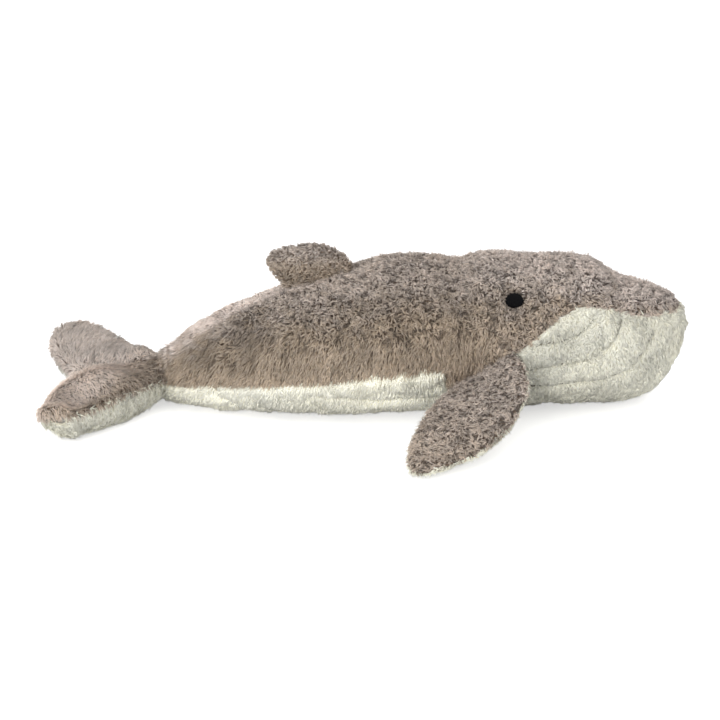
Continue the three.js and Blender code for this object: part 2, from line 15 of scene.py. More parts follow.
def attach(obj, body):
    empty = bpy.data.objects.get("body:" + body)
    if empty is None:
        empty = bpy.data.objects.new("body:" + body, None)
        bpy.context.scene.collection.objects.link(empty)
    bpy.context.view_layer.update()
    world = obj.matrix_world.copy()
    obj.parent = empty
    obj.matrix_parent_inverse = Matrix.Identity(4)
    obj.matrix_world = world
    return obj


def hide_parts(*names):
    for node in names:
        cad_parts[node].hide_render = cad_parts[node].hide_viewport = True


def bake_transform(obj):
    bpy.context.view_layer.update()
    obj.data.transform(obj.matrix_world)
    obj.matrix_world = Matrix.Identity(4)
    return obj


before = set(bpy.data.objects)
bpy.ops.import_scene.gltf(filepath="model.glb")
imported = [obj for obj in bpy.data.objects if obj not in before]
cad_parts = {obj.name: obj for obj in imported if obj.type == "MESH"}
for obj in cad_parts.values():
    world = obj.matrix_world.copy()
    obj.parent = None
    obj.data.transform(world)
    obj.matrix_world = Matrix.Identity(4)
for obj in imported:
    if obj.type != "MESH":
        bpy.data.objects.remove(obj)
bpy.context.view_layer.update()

MM = 0.001
UP = np.array([0.0, 0.0, 1.0])
MIRRORED = np.array([1.0, -1.0, 1.0])

# ---------------------------------------------------------------- measures
# The same named shapes as the part has, in millimetres.
BODY_LENGTH, BODY_HEIGHT, BODY_HALF_WIDTH = 304.0, 88.0, 51.0
FLUKE_REACH, FLUKE_HALF_SPAN = 73.0, 64.0
SNOUT_X = (BODY_LENGTH + FLUKE_REACH) / 2
WAIST_X = SNOUT_X - BODY_LENGTH
SHIFT = np.array([-0.513, 0.0, 0.0])      # the part's middle in the frame
UPPER_SQUARENESS, WIDEST = 2.1, 0.48
UNDERSIDE_SAG = 0.5                       # how far the underside lies below its rows
SNOUT_CAP, SNOUT_BULGE = 0.012, 2.2       # the snout's closed end: a share of the length, and millimetres

BODY_ROWS = [
    (-0.013, 0.30, 0.10, 0.12, 2.1), (-0.008, 0.36, 0.05, 0.23, 2.2), (0.003, 0.395, 0.025, 0.31, 2.3),
    (0.026, 0.44, 0.014, 0.39, 2.4), (0.0625, 0.534, 0.008, 0.49, 2.5), (0.112, 0.625, 0, 0.627, 2.6),
    (0.178, 0.716, 0, 0.765, 2.9), (0.276, 0.841, 0, 0.902, 3.0), (0.375, 0.925, 0, 0.98, 3.0),
    (0.457, 0.98, 0, 1, 2.8), (0.523, 0.97, 0, 0.98, 2.5), (0.566, 0.955, 0, 0.96, 2.2),
    (0.622, 0.995, 0, 0.96, 2.2), (0.704, 0.98, 0, 0.94, 2.3), (0.803, 0.955, 0, 0.885, 2.4),
    (0.868, 0.856, 0.006, 0.8, 2.5), (0.921, 0.79, 0.05, 0.66, 2.4), (0.957, 0.735, 0.14, 0.52, 2.3),
    (0.98, 0.69, 0.25, 0.385, 2.2), (0.993, 0.63, 0.34, 0.24, 2.2), (1, 0.55, 0.44, 0.08, 2.2),
]
SEAM = np.array([
    (-0.03, 0.17), (0.013, 0.19), (0.09, 0.227), (0.164, 0.245), (0.24, 0.285), (0.312, 0.31),
    (0.385, 0.345), (0.457, 0.365), (0.522, 0.385), (0.528, 0.225), (0.57, 0.3), (0.625, 0.415),
    (0.664, 0.51), (0.678, 0.545), (0.714, 0.65), (0.733, 0.7), (0.753, 0.735), (0.775, 0.764),
    (0.792, 0.77), (0.809, 0.758), (0.849, 0.725), (0.891, 0.68), (0.931, 0.655), (0.97, 0.65), (1.03, 0.64),
])
PLEATS = [
    [(0.799, 0.69), (0.786, 0.645), (0.767, 0.595), (0.745, 0.565), (0.71, 0.55), (0.685, 0.53)],
    [(0.857, 0.665), (0.845, 0.58), (0.825, 0.505), (0.79, 0.43), (0.75, 0.4), (0.7, 0.385),
     (0.655, 0.37)],
    [(0.922, 0.55), (0.9, 0.44), (0.87, 0.345), (0.82, 0.28), (0.76, 0.245), (0.69, 0.22),
     (0.62, 0.2), (0.56, 0.185)],
]
PLEAT_DEPTHS = (0.8, 1.0, 0.75)
SCALLOP_LENGTH, SCALLOP_HEIGHT, SCALLOP_RELIEF = 14.5, 2.2, 1.8
EYE_PLACE = (0.651, 0.812)
EYE_LENGTH, EYE_HEIGHT, EYE_RELIEF = 9.6, 8.3, 2.2

# Folds in the cloth, in millimetres: how deep or tall they are, and how far they spread.
SEAM_DIP, SEAM_SPREAD = 1.1, 2.4
BAND_PLACE = [(0.3, 0.2), (0.4, 0.185), (0.47, 0.18), (0.53, 0.175)]
# BAND_SHADE: how much darker the pile is painted along the band's groove, as its shade
BAND_DIP, BAND_SPREAD, BAND_SHADE = 1.1, 1.5, 0.42
TAIL_RIDGE, TAIL_HOLLOW = 1.7, 0.8        # beside the seam along the back, over the tail
UNDER_BAND_RELIEF = 1.3
NECK_X, NECK_DIP, NECK_SPREAD = 50.0, 2.4, 9.0
EYE_DIP, EYE_SPREAD = 0.8, 7.0
WAIST_CREASES = (-4.5, -1.0, 3.0, 7.0)    # from the waist seam
# CREASE_SHADE: how much darker the pile is painted in the waist's creases, as their shade
CREASE_DIP, FLUKE_CREASE_DIP, CREASE_SPREAD, CREASE_SHADE = 2.5, 2.0, 0.6, 0.6

FIN_ROWS = [
    (-0.2, 0.53, -0.22, 0.46, 0.05, -0.2, 1.08, 0.22), (0, 0.571, -0.04, 0.45, 0.02, 0, 0.98, 0.3),
    (0.12, 0.614, 0.064, 0.45, -0.02, 0.12, 0.89, 0.62), (0.25, 0.714, 0.19, 0.43, -0.03, 0.277, 0.74, 0.9),
    (0.5, 0.857, 0.43, 0.35, 0.09, 0.55, 0.46, 1), (0.75, 0.965, 0.69, 0.215, 0.33, 0.8, 0.24, 0.86),
    (0.9, 1, 0.87, 0.12, 0.59, 0.94, 0.13, 0.56), (1, 0.97, 0.98, 0.08, 0.8, 1, 0.08, 0.05),
]
FIN_REACH, FIN_SWEEP, FIN_ROOT_HEIGHT, FIN_HALF_THICKNESS = 73.0, 70.0, 45.0, 8.2
FIN_ROOT_REAR, FIN_ROOT_FRONT = (0.533, 0.23), (0.664, 0.51)
BACK_FIN_ROWS = [
    (-0.25, 0.76, -0.16, 0.02, 0.32, 0.3), (0, 0.84, 0.02, 0.02, 0.47, 0.5),
    (0.3, 0.94, 0.28, 0.07, 0.63, 0.93),
    (0.6, 1.02, 0.55, 0.21, 0.81, 1), (0.85, 0.97, 0.75, 0.38, 0.92, 0.72), (1, 0.84, 0.89, 0.53, 0.96, 0.05),
]
BACK_FIN_LENGTH, BACK_FIN_HEIGHT, BACK_FIN_HALF_THICKNESS = 51.0, 26.0, 7.5
BACK_FIN_BASE = 0.79 * BODY_HEIGHT
BACK_FIN_FRONT_X = WAIST_X + 0.3684 * BODY_LENGTH
FLUKE_ROWS = [
    (0, 0.0, 0, 0.73, 0, 0.86, 1), (0.1, 0.004, 0.08, 0.76, 0.09, 0.92, 0.93),
    (0.2, 0.015, 0.18, 0.81, 0.18, 1, 0.7), (0.32, 0.065, 0.33, 0.86, 0.29, 1, 0.25),
    (0.45, 0.165, 0.49, 0.91, 0.4, 1, 0), (0.62, 0.32, 0.69, 0.96, 0.56, 0.96, 0),
    (0.78, 0.49, 0.87, 1, 0.7, 0.85, 0), (0.9, 0.64, 0.97, 0.99, 0.82, 0.72, 0),
    (1, 0.78, 1, 0.92, 0.93, 0.05, 0),
]
FLUKE_HEIGHT, FLUKE_NECK_HEIGHT, FLUKE_DIP, FLUKE_LIFT, FLUKE_SKEW = 14.0, 18.5, 8.0, 3.0, 3.0
FLUKE_HALF_THICKNESS, FLUKE_NECK_HALF_HEIGHT = 11.0, 15.0
FLUKE_TUCK = 4.0                          # how far its cloth reaches into the body at the waist
PILLOW_POWER = 2.2
FLUKE_CAP_COLUMNS = 8
# Where the upper cloth is stuffed full: how much, then the place and spread across and along.
FLUKE_LUMPS = ((6.0, -27, 15, -149, 19), (4.0, 15, 12, -131, 9), (3.5, -76, 22, -174, 11))
FLUKE_HANG, FLUKE_HANG_X = 7.0, -128      # the cream cloth's sag below the neck

# Pile, in millimetres: how deep the cloth lies under the pile's surface, and
# how far apart its locks stand.
GREY_PILE_DEPTH, CREAM_PILE_DEPTH, LIMB_PILE = 3.4, 1.9, 2.6
LOCK_GAP = 0.94
STRANDS_PER_LOCK, STRANDS_PER_PIECE = 3, 21000
CLOTH_THICKNESS, LIMB_CLOTH_THICKNESS = 0.8, 0.5
# The least height over the floor of the outer faces, of any cloth and of the strands.
SKIN_LOWEST, LIMB_SKIN_LOWEST, CLOTH_LOWEST, STRAND_LOWEST = 1.4, 0.6, 0.3, 0.15
# The simulation of limp cloth under the filling's pressure.
CLOTH_SETTINGS = dict(quality=5, mass=0.003, tension_stiffness=15, compression_stiffness=15,
                      bending_stiffness=0.05, use_pressure=True, uniform_pressure_force=4)
CLOTH_FRAMES = 20


# ---------------------------------------------------------------- tools
def smooth_rows(rows):
    """A smooth curve through rows of numbers, with no overshoot between them."""
    rows = np.array(rows, float)
    x, y = rows[:, 0], rows[:, 1:]
    steps = (y[1:] - y[:-1]) / (x[1:] - x[:-1])[:, None]
    slopes = np.zeros_like(y)
    slopes[0], slopes[-1] = steps[0], steps[-1]
    a, b = steps[:-1], steps[1:]
    both = a + b
    slopes[1:-1] = np.where(a * b <= 0, 0, 2 * a * b / np.where(both == 0, 1, both))

    def at(where):
        where = np.asarray(where, float)
        i = np.clip(np.searchsorted(x, where, side="left") - 1, 0, len(x) - 2)
        width = (x[i + 1] - x[i])[..., None]
        t = (where - x[i])[..., None] / width
        c = np.clip(t, 0, 1)
        h = c * c * (3 - 2 * c)
        value = y[i] + (y[i + 1] - y[i]) * h
        value = value + (slopes[i] * c * (1 - c) ** 2 - slopes[i + 1] * c * c * (1 - c)) * width
        value = value + slopes[i] * np.minimum(t, 0) * width + slopes[i + 1] * np.maximum(t - 1, 0) * width
        return np.moveaxis(value, -1, 0)
    return at


def smoothstep(low, high, value):
    """A smooth rise from nought at low to one at high."""
    t = np.clip((value - low) / (high - low), 0, 1)
    return t * t * (3 - 2 * t)


def bell(distance, width, aside=0.0, breadth=1.0):
    """One at a place, falling off over a width, and to its side over a breadth."""
    return np.exp(-(distance / width) ** 2 - (aside / breadth) ** 2)


def unit(v):
    return v / np.maximum(np.linalg.norm(v, axis=-1, keepdims=True), 1e-12)


def lengths_along(line):
    """How far along a line each of its points lies."""
    return np.r_[0, np.cumsum(np.linalg.norm(np.diff(line, axis=0), axis=1))]


def lattice(i, j, k, seed):
    """An even random number from 0 to 1 for each whole-numbered corner."""
    h = (i.astype(np.int64) * 374761393 + j.astype(np.int64) * 668265263
         + k.astype(np.int64) * 2147483647 + seed * 1274126177) & 0xFFFFFFFF
    h = ((h ^ (h >> 13)) * 1274126177) & 0xFFFFFFFF
    h = ((h ^ (h >> 16)) * 2246822519) & 0xFFFFFFFF
    return ((h ^ (h >> 15)) & 0xFFFFFF) / float(0xFFFFFF)


def noise(points, size, seed):
    """Smooth noise from -1 to 1 at points, with features of that size."""
    q = points / size
    base = np.floor(q)
    f = q - base
    f = f * f * (3 - 2 * f)
    base = base.astype(np.int64)
    total = 0
    for dx in (0, 1):
        for dy in (0, 1):
            for dz in (0, 1):
                w = (f[..., 0] if dx else 1 - f[..., 0]) * (f[..., 1] if dy else 1 - f[..., 1])
                w = w * (f[..., 2] if dz else 1 - f[..., 2])
                total = total + w * lattice(base[..., 0] + dx, base[..., 1] + dy, base[..., 2] + dz, seed)
    return 2 * total - 1


def noise_vector(points, size, seed):
    return np.stack([noise(points, size, seed + k) for k in range(3)], -1)


def line_distance(points, line):
    """How far each point is from a line through the given corners."""
    shape = points.shape[:-1]
    p = points.reshape(-1, points.shape[-1])
    best = np.full(len(p), 1e9)
    for a, b in zip(line[:-1], line[1:]):
        run = b - a
        t = np.clip((p - a) @ run / (run @ run), 0, 1)
        best = np.minimum(best, np.linalg.norm(p - a - t[:, None] * run, axis=1))
    return best.reshape(shape)


# ---------------------------------------------------------------- body form
body_row = smooth_rows(BODY_ROWS)


def body_measures(share):
    """The section's top, underside, half width and squareness at a share of the length."""
    top, underside, half, squareness = body_row(share)
    low = np.minimum(underside * BODY_HEIGHT - UNDERSIDE_SAG, (top + underside) * BODY_HEIGHT / 2)
    return top * BODY_HEIGHT, low, np.maximum(half, 0) * BODY_HALF_WIDTH, squareness


def scallops(x):
    """The puffs along the top of the cream panel below the flank, from nought to one."""
    where = smoothstep(-25, -5, x) * (1 - smoothstep(40, 45, x))
    return where * np.abs(np.sin(np.pi * (x + 3) / SCALLOP_LENGTH))


def seam_height(share):
    """The height of the seam between grey and cream."""
    height = np.interp(share, SEAM[:, 0], SEAM[:, 1]) * BODY_HEIGHT
    return height + SCALLOP_HEIGHT * scallops(WAIST_X + share * BODY_LENGTH)


def lift_at_height(share, z):
    """The angle up the section, from -pi/2 to pi/2, at which it has a height."""
    high, low, _, squareness = body_measures(share)
    middle = low + WIDEST * (high - low)
    above = z >= middle
    rise = np.where(above, (z - middle) / (high - middle), (middle - z) / (middle - low))
    power = np.where(above, UPPER_SQUARENESS, squareness)
    lift = np.arcsin(np.clip(rise, 0, 1) ** (power / 2))
    return np.where(above, lift, -lift)


def body_point(share, lift, side):
    """The body's outer surface. Past a share of one, the snout is closed."""
    high, low, half, squareness = body_measures(np.minimum(share, 1))
    middle = low + WIDEST * (high - low)
    s, c = np.sin(lift), np.cos(lift)
    power = np.where(s >= 0, 2 / UPPER_SQUARENESS, 2 / squareness)
    y = side * half * np.maximum(c, 0) ** power
    up = np.abs(s) ** power
    z = np.where(s >= 0, middle + up * (high - middle), middle - up * (middle - low))
    shrink = 1 - np.clip(np.maximum(share - 1, 0) / SNOUT_CAP, 0, 1)
    x = WAIST_X + np.minimum(share, 1) * BODY_LENGTH + SNOUT_BULGE * (1 - shrink ** 2)
    return np.stack([x, y * shrink, np.maximum(middle + (z - middle) * shrink, 0)], -1)


def flank_place(place, outset=0.0):
    """Points of the right flank at shares of length and height, and the way out of each."""
    share, height = np.array(place, float).T
    lift = lift_at_height(share, height * BODY_HEIGHT)
    step = 1e-4
    along = body_point(share + step, lift, -1.0) - body_point(share - step, lift, -1.0)
    upward = body_point(share, lift + step, -1.0) - body_point(share, lift - step, -1.0)
    n = unit(np.cross(along, upward))
    return body_point(share, lift, -1.0) + outset * n, n


def curved_line(place, count=28):
    """A smooth line through given places."""
    place = np.array(place, float)
    steps = np.gradient(place, axis=0)
    t = lengths_along(place)
    at = np.linspace(0, t[-1], count)
    i = np.minimum(np.searchsorted(t, at, side="right") - 1, len(place) - 2)
    w = ((at - t[i]) / (t[i + 1] - t[i]))[:, None]
    return ((2 * w ** 3 - 3 * w ** 2 + 1) * place[i] + (w ** 3 - 2 * w ** 2 + w) * steps[i]
            + (-2 * w ** 3 + 3 * w ** 2) * place[i + 1] + (w ** 3 - w ** 2) * steps[i + 1])


PLEAT_LINES = [flank_place(curved_line(p))[0] for p in PLEATS]
SEAM_LINE = np.stack([WAIST_X + SEAM[:, 0] * BODY_LENGTH, SEAM[:, 1] * BODY_HEIGHT], -1)
BAND_LINE = flank_place(curved_line(BAND_PLACE))[0]
EYE_POINT, EYE_NORMAL = (a[0] for a in flank_place([EYE_PLACE]))
FIN_REAR_POINT, FIN_FRONT_POINT = flank_place([FIN_ROOT_REAR, FIN_ROOT_FRONT], 0.3)[0]
FIN_ROOT = np.array([FIN_REAR_POINT, FIN_FRONT_POINT])


def folded(points):
    """The same places on the right side."""
    return points * np.array([1.0, 0, 1.0]) + np.array([0, -1.0, 0]) * np.abs(points[..., 1:2])


def pleat_distances(points):
    return [line_distance(folded(points), line) for line in PLEAT_LINES]


def seam_distance(points):
    return line_distance(points[..., [0, 2]], SEAM_LINE)


def waist_crease(points):
    """How near a point is to a crease round the waist, from nought to one."""
    x = points[..., 0] - WAIST_X + 1.4 * noise(points, 9.0, 61) + 0.5 * noise(points, 3.5, 62)
    depth = sum(bell(x - at, CREASE_SPREAD) for at in WAIST_CREASES)
    uneven = 0.55 + 0.45 * noise(points * np.array([2.5, 1.0, 1.0]), 8.0, 63)
    return np.clip(depth * uneven, 0, 1) * smoothstep(8, 18, points[..., 2])


def body_relief(points):
    """How far the outer surface stands out or in, in millimetres."""
    x, y, z = points[..., 0], points[..., 1], points[..., 2]
    relief = 0.9 * noise(points, 30.0, 5) + 0.55 * noise(points, 13.0, 9)
    sideways = smoothstep(4, 12, np.abs(y))
    relief = relief - SEAM_DIP * bell(seam_distance(points), SEAM_SPREAD) * sideways
    # each pleat is a sharp groove in a wide one, with a swelling beside it
    for d, strength in zip(pleat_distances(points), PLEAT_DEPTHS):
        relief = relief - strength * (0.7 * bell(d, 4.0) + 2.3 * bell(d, 1.1) - 0.45 * bell(d - 7, 4.0))
    relief = relief - BAND_DIP * bell(line_distance(folded(points), BAND_LINE), BAND_SPREAD)
    below = np.interp(x, SEAM_LINE[:, 0], SEAM_LINE[:, 1]) - z
    relief = relief + SCALLOP_RELIEF * scallops(x) * sideways * bell(below - 4, 3.5)
    # the seam along the back lies a little to the right over the tail
    tail = smoothstep(-100, -70, x) * (1 - smoothstep(-35, -5, x))
    relief = relief + tail * (TAIL_RIDGE * bell(y + 11, 4.5) - TAIL_HOLLOW * bell(y - 2, 7))
    relief = relief - CREASE_DIP * waist_crease(points)
    # lumps of pile: larger where it is curled, above, than below the seam
    relief = relief + 0.45 * noise(points, 6.0, 33) * smoothstep(28, 45, z)
    relief = relief + 0.3 * noise(points, 5.0, 35) * (1 - smoothstep(28, 45, z))
    # the belly bulges between its groove and the floor
    band = smoothstep(-112, -95, x) * (1 - smoothstep(55, 75, x)) * smoothstep(12, 22, np.abs(y))
    relief = relief + UNDER_BAND_RELIEF * band * bell(z - 9, 5.5)
    # the neck's hollow, to the right of the seam along the back
    relief = relief - NECK_DIP * bell(x - NECK_X, NECK_SPREAD, y + 15, NECK_SPREAD) * (z > 40)
    # the eye draws the cloth in a little
    return relief - EYE_DIP * bell(np.linalg.norm(folded(points) - EYE_POINT, axis=-1), EYE_SPREAD)


# ---------------------------------------------------------------- limb forms
fin_row = smooth_rows(FIN_ROWS)
back_fin_row = smooth_rows(BACK_FIN_ROWS)
fluke_row = smooth_rows(FLUKE_ROWS)


def lerp_edges(edges, chord):
    """A place between a rear edge, at minus one, and a front edge, at one."""
    rear, front = edges
    return rear + (front - rear) * ((chord + 1) / 2)[..., None]


def drawn_in(full, inset):
    """A half thickness less an inset, never down to nothing."""
    return np.maximum(full - inset, full * 0.25)


def pillow(row, half_thickness):
    """The thickness of a pillow whose rows end with its share of the full thickness."""
    def thickness(span, chord, round_share, inset):
        return drawn_in(np.maximum(row(span)[-1], 0) * half_thickness, inset) * round_share
    return thickness


def fin_edges(span):
    back_r, out_r, up_r, back_f, out_f, up_f, _ = fin_row(span)
    place = lambda b, o, u: np.stack([FIN_FRONT_POINT[0] - b * FIN_SWEEP,
                                      FIN_FRONT_POINT[1] - o * FIN_REACH, u * FIN_ROOT_HEIGHT], -1)
    return place(back_r, out_r, up_r), place(back_f, out_f, up_f)


def fin_edge_rise(span, t, side):
    """The cream cloth comes up a little round the front of a side fin."""
    return 3.0 * smoothstep(0.1, 0.4, span) * np.maximum(t, 0) ** 3


def back_fin_edges(span):
    back_r, up_r, back_f, up_f, _ = back_fin_row(span)
    place = lambda b, u: np.stack([BACK_FIN_FRONT_X - b * BACK_FIN_LENGTH, 0 * b,
                                   BACK_FIN_BASE + u * BACK_FIN_HEIGHT], -1)
    return place(back_r, up_r), place(back_f, up_f)


def fluke_edges(span):
    side = np.where(span < 0, -1.0, 1.0)
    back_f, out_f, back_r, out_r, _, neck = fluke_row(np.abs(span))

    def place(back, out, tuck):
        lean = FLUKE_LIFT * out - FLUKE_DIP * side * out * out
        neck_rise = (1 - back) * (FLUKE_NECK_HEIGHT - FLUKE_HEIGHT) * np.maximum(1 - 2 * out, 0)
        lag = back * (FLUKE_REACH - FLUKE_SKEW) - FLUKE_SKEW * side * out - tuck * np.maximum(neck, 0)
        return np.stack([WAIST_X - lag, -side * out * FLUKE_HALF_SPAN, FLUKE_HEIGHT + lean + neck_rise], -1)
    return place(back_r, out_r, 0), place(back_f, out_f, FLUKE_TUCK)


def fluke_thickness(span, chord, round_share, inset):
    """The lobes are pillows. Towards the front the neck is as thick as the waist."""
    thick, neck = fluke_row(np.abs(span))[4:6]
    neck = np.maximum(neck, 0)
    lobes = drawn_in(np.maximum(thick, 0) * FLUKE_HALF_THICKNESS, inset) * round_share
    towards = np.maximum(chord, 0) ** 2 * neck
    return lobes * (1 - towards) + (FLUKE_NECK_HALF_HEIGHT - inset) * towards * neck


def fluke_edge_rise(span, t, side):
    """The seam runs high along the front of each lobe, higher on the right one. The cream side is full."""
    out = np.abs(span)
    right = np.interp(out, [0, 0.2, 0.32, 0.45, 0.56, 0.87, 1], [0, 1.5, 4.0, 7.0, 8.5, 8.8, 7.5])
    left = np.interp(out, [0, 0.2, 0.32, 0.6, 1], [0, -1.0, -1.5, 1.0, 2.5])
    amount = np.where(span > 0, right, left)
    front = np.maximum(t, 0) ** (2 if side > 0 else 5)
    tip = smoothstep(0.8 if side > 0 else 0.88 - 0.08 * smoothstep(0, 1, -t), 0.955, out)
    return amount * (front + 0.6 * tip * (1 - front)) - 0.8 * np.maximum(-t, 0) ** 3


def fluke_seam_drop(span, chord):
    """At the neck the cream side reaches less far up than the cloth is tall."""
    neck = np.maximum(fluke_row(np.abs(span))[5], 0)
    return 3.0 * np.maximum(chord, 0) ** 2 * neck ** 2


def limb_grid(limb, side, inset, rows, columns):
    """A grid of points of one side of a pillow, drawn in by an inset."""
    shrink = inset / limb["length"]
    u = np.linspace(limb["first"] + (shrink if limb["first"] == -1 else 0), 1 - shrink, rows)
    # crowd the rows where the pillow ends
    v = np.sin(np.linspace(-1, 1, columns) * math.pi / 2)
    span, t = np.meshgrid(u, v, indexing="ij")
    edges = limb["edges"](span)
    half_chord = np.linalg.norm(edges[1] - edges[0], axis=-1) / 2
    chord = t * (1 - np.minimum(inset / np.maximum(half_chord, 1e-6), 0.8))
    step = 1e-3
    point = lerp_edges(edges, chord)
    along = lerp_edges(limb["edges"](span + step), chord) - lerp_edges(limb["edges"](span - step), chord)
    normal = unit(np.cross(along, edges[1] - edges[0]))
    round_share = np.maximum(1 - np.abs(t) ** PILLOW_POWER, 0) ** (1 / PILLOW_POWER)
    height = limb["thickness"](span, chord, round_share, inset)
    if "edge_rise" in limb:
        point = point + limb["edge_rise"](span, t, side)[..., None] * UP
    tall = np.maximum(height[:, -1:], 0.4)
    blunt = 0.5 * tall
    if "seam_drop" in limb:
        drop = limb["seam_drop"](span, chord)
        point = point - drop[..., None] * UP
        height = height + side * drop
        tall = np.maximum(height[:, -1:], 0.4)
    grid = point + side * height[..., None] * normal
    if "cap" in limb:
        # the neck's blunt end is rounded over towards the body
        turn = np.linspace(0, np.pi / 2, limb["cap"] + 1)[1:]
        ahead = blunt * np.sin(turn)
        cap = (point[:, -1:] + side * (tall * np.cos(turn))[..., None] * normal[:, -1:]
               + ahead[..., None] * np.array([1.0, 0, 0]))
        grid = np.concatenate([grid, cap], axis=1)
    return grid


# ---------------------------------------------------------------- meshes
def linked(name, data):
    """A new object in the scene."""
    obj = bpy.data.objects.new(name, data)
    bpy.context.scene.collection.objects.link(obj)
    return obj


def mesh_object(name, points, faces):
    """A smooth mesh from points in millimetres and an even table of faces, or a list of such tables."""
    tables = faces if isinstance(faces, list) else [faces]
    mesh = bpy.data.meshes.new(name)
    points = (np.asarray(points, float) + SHIFT) * MM
    mesh.vertices.add(len(points))
    mesh.vertices.foreach_set("co", points.astype(np.float32).ravel())
    loops = np.concatenate([t.ravel() for t in tables]).astype(np.int32)
    sizes = np.concatenate([np.full(len(t), t.shape[1], np.int32) for t in tables])
    mesh.loops.add(len(loops))
    mesh.loops.foreach_set("vertex_index", loops)
    mesh.polygons.add(len(sizes))
    mesh.polygons.foreach_set("loop_start", np.r_[0, np.cumsum(sizes)[:-1]].astype(np.int32))
    mesh.polygons.foreach_set("use_smooth", np.ones(len(sizes), bool))
    mesh.update(calc_edges=True)
    return linked(name, mesh)


def set_values(obj, name, values):
    attribute = obj.data.attributes.new(name, "FLOAT", "POINT")
    attribute.data.foreach_set("value", np.asarray(values, np.float32))


def vectors(mesh, key):
    """The places or normals of a mesh's vertices."""
    flat = np.empty(len(mesh.vertices) * 3, np.float32)
    mesh.vertices.foreach_get(key, flat)
    return flat.reshape(-1, 3)


def carry(piece, body, blend=None):
    """Ties a piece to its body; with a blend, it only bakes the piece's place into its mesh."""
    if blend:
        bodies, start, end = blend
        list(bodies)
        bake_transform(piece)
        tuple(start)
        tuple(end)
    else:
        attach(piece, body)


def grid_normals(grid, outwards):
    return unit(np.cross(np.gradient(grid, axis=0), np.gradient(grid, axis=1))) * outwards


def grid_faces(grid, normals):
    """The four-sided faces of a grid, turned outwards, and whether they had to be turned."""
    index = np.arange(grid[..., 0].size).reshape(grid.shape[:2])
    quads = np.stack([index[:-1, :-1], index[1:, :-1], index[1:, 1:], index[:-1, 1:]], -1).reshape(-1, 4)
    across = np.cross(grid[1:, :-1] - grid[:-1, :-1], grid[:-1, 1:] - grid[:-1, :-1])
    turned = np.sum(across * normals[:-1, :-1]) < 0
    return (quads[:, ::-1] if turned else quads), turned


SKINS = {}                                # the cloths' outer faces by body


def keep_skin(body, grid, normals):
    """Remembers a panel's outer face, for the filling to keep inside it."""
    points = ((grid + SHIFT) * MM).reshape(-1, 3)
    tree = BVHTree.FromPolygons(points.tolist(), grid_faces(grid, normals)[0].tolist())
    SKINS.setdefault(body, []).append(tree)


def cloth_shell(name, grid, normals, thickness):
    """A closed sheet of cloth with the grid as its outer face."""
    count = grid[..., 0].size
    points = np.concatenate([grid.reshape(-1, 3), (grid - normals * thickness).reshape(-1, 3)])
    points[:, 2] = np.maximum(points[:, 2], CLOTH_LOWEST)
    quads, turned = grid_faces(grid, normals)
    index = np.arange(count).reshape(grid.shape[:2])
    rim = np.concatenate([index[:, 0], index[-1, 1:], index[::-1, -1][1:], index[0, ::-1][1:-1]])
    after = np.roll(rim, -1)
    sides = np.stack([rim, after, after + count, rim + count], -1)
    return mesh_object(name, points, [quads, quads[:, ::-1] + count, sides if turned else sides[:, ::-1]])


# ---------------------------------------------------------------- cloth simulation
def sample_grid(grid, u, v):
    """The grid's value between its points, at fractional rows and columns."""
    rows, columns = grid.shape[:2]
    i = np.clip(np.floor(u).astype(int), 0, rows - 2)
    j = np.clip(np.floor(v).astype(int), 0, columns - 2)
    a, b = (u - i)[:, None], (v - j)[:, None]
    return ((1 - a) * (1 - b) * grid[i, j] + a * (1 - b) * grid[i + 1, j]
            + (1 - a) * b * grid[i, j + 1] + a * b * grid[i + 1, j + 1])


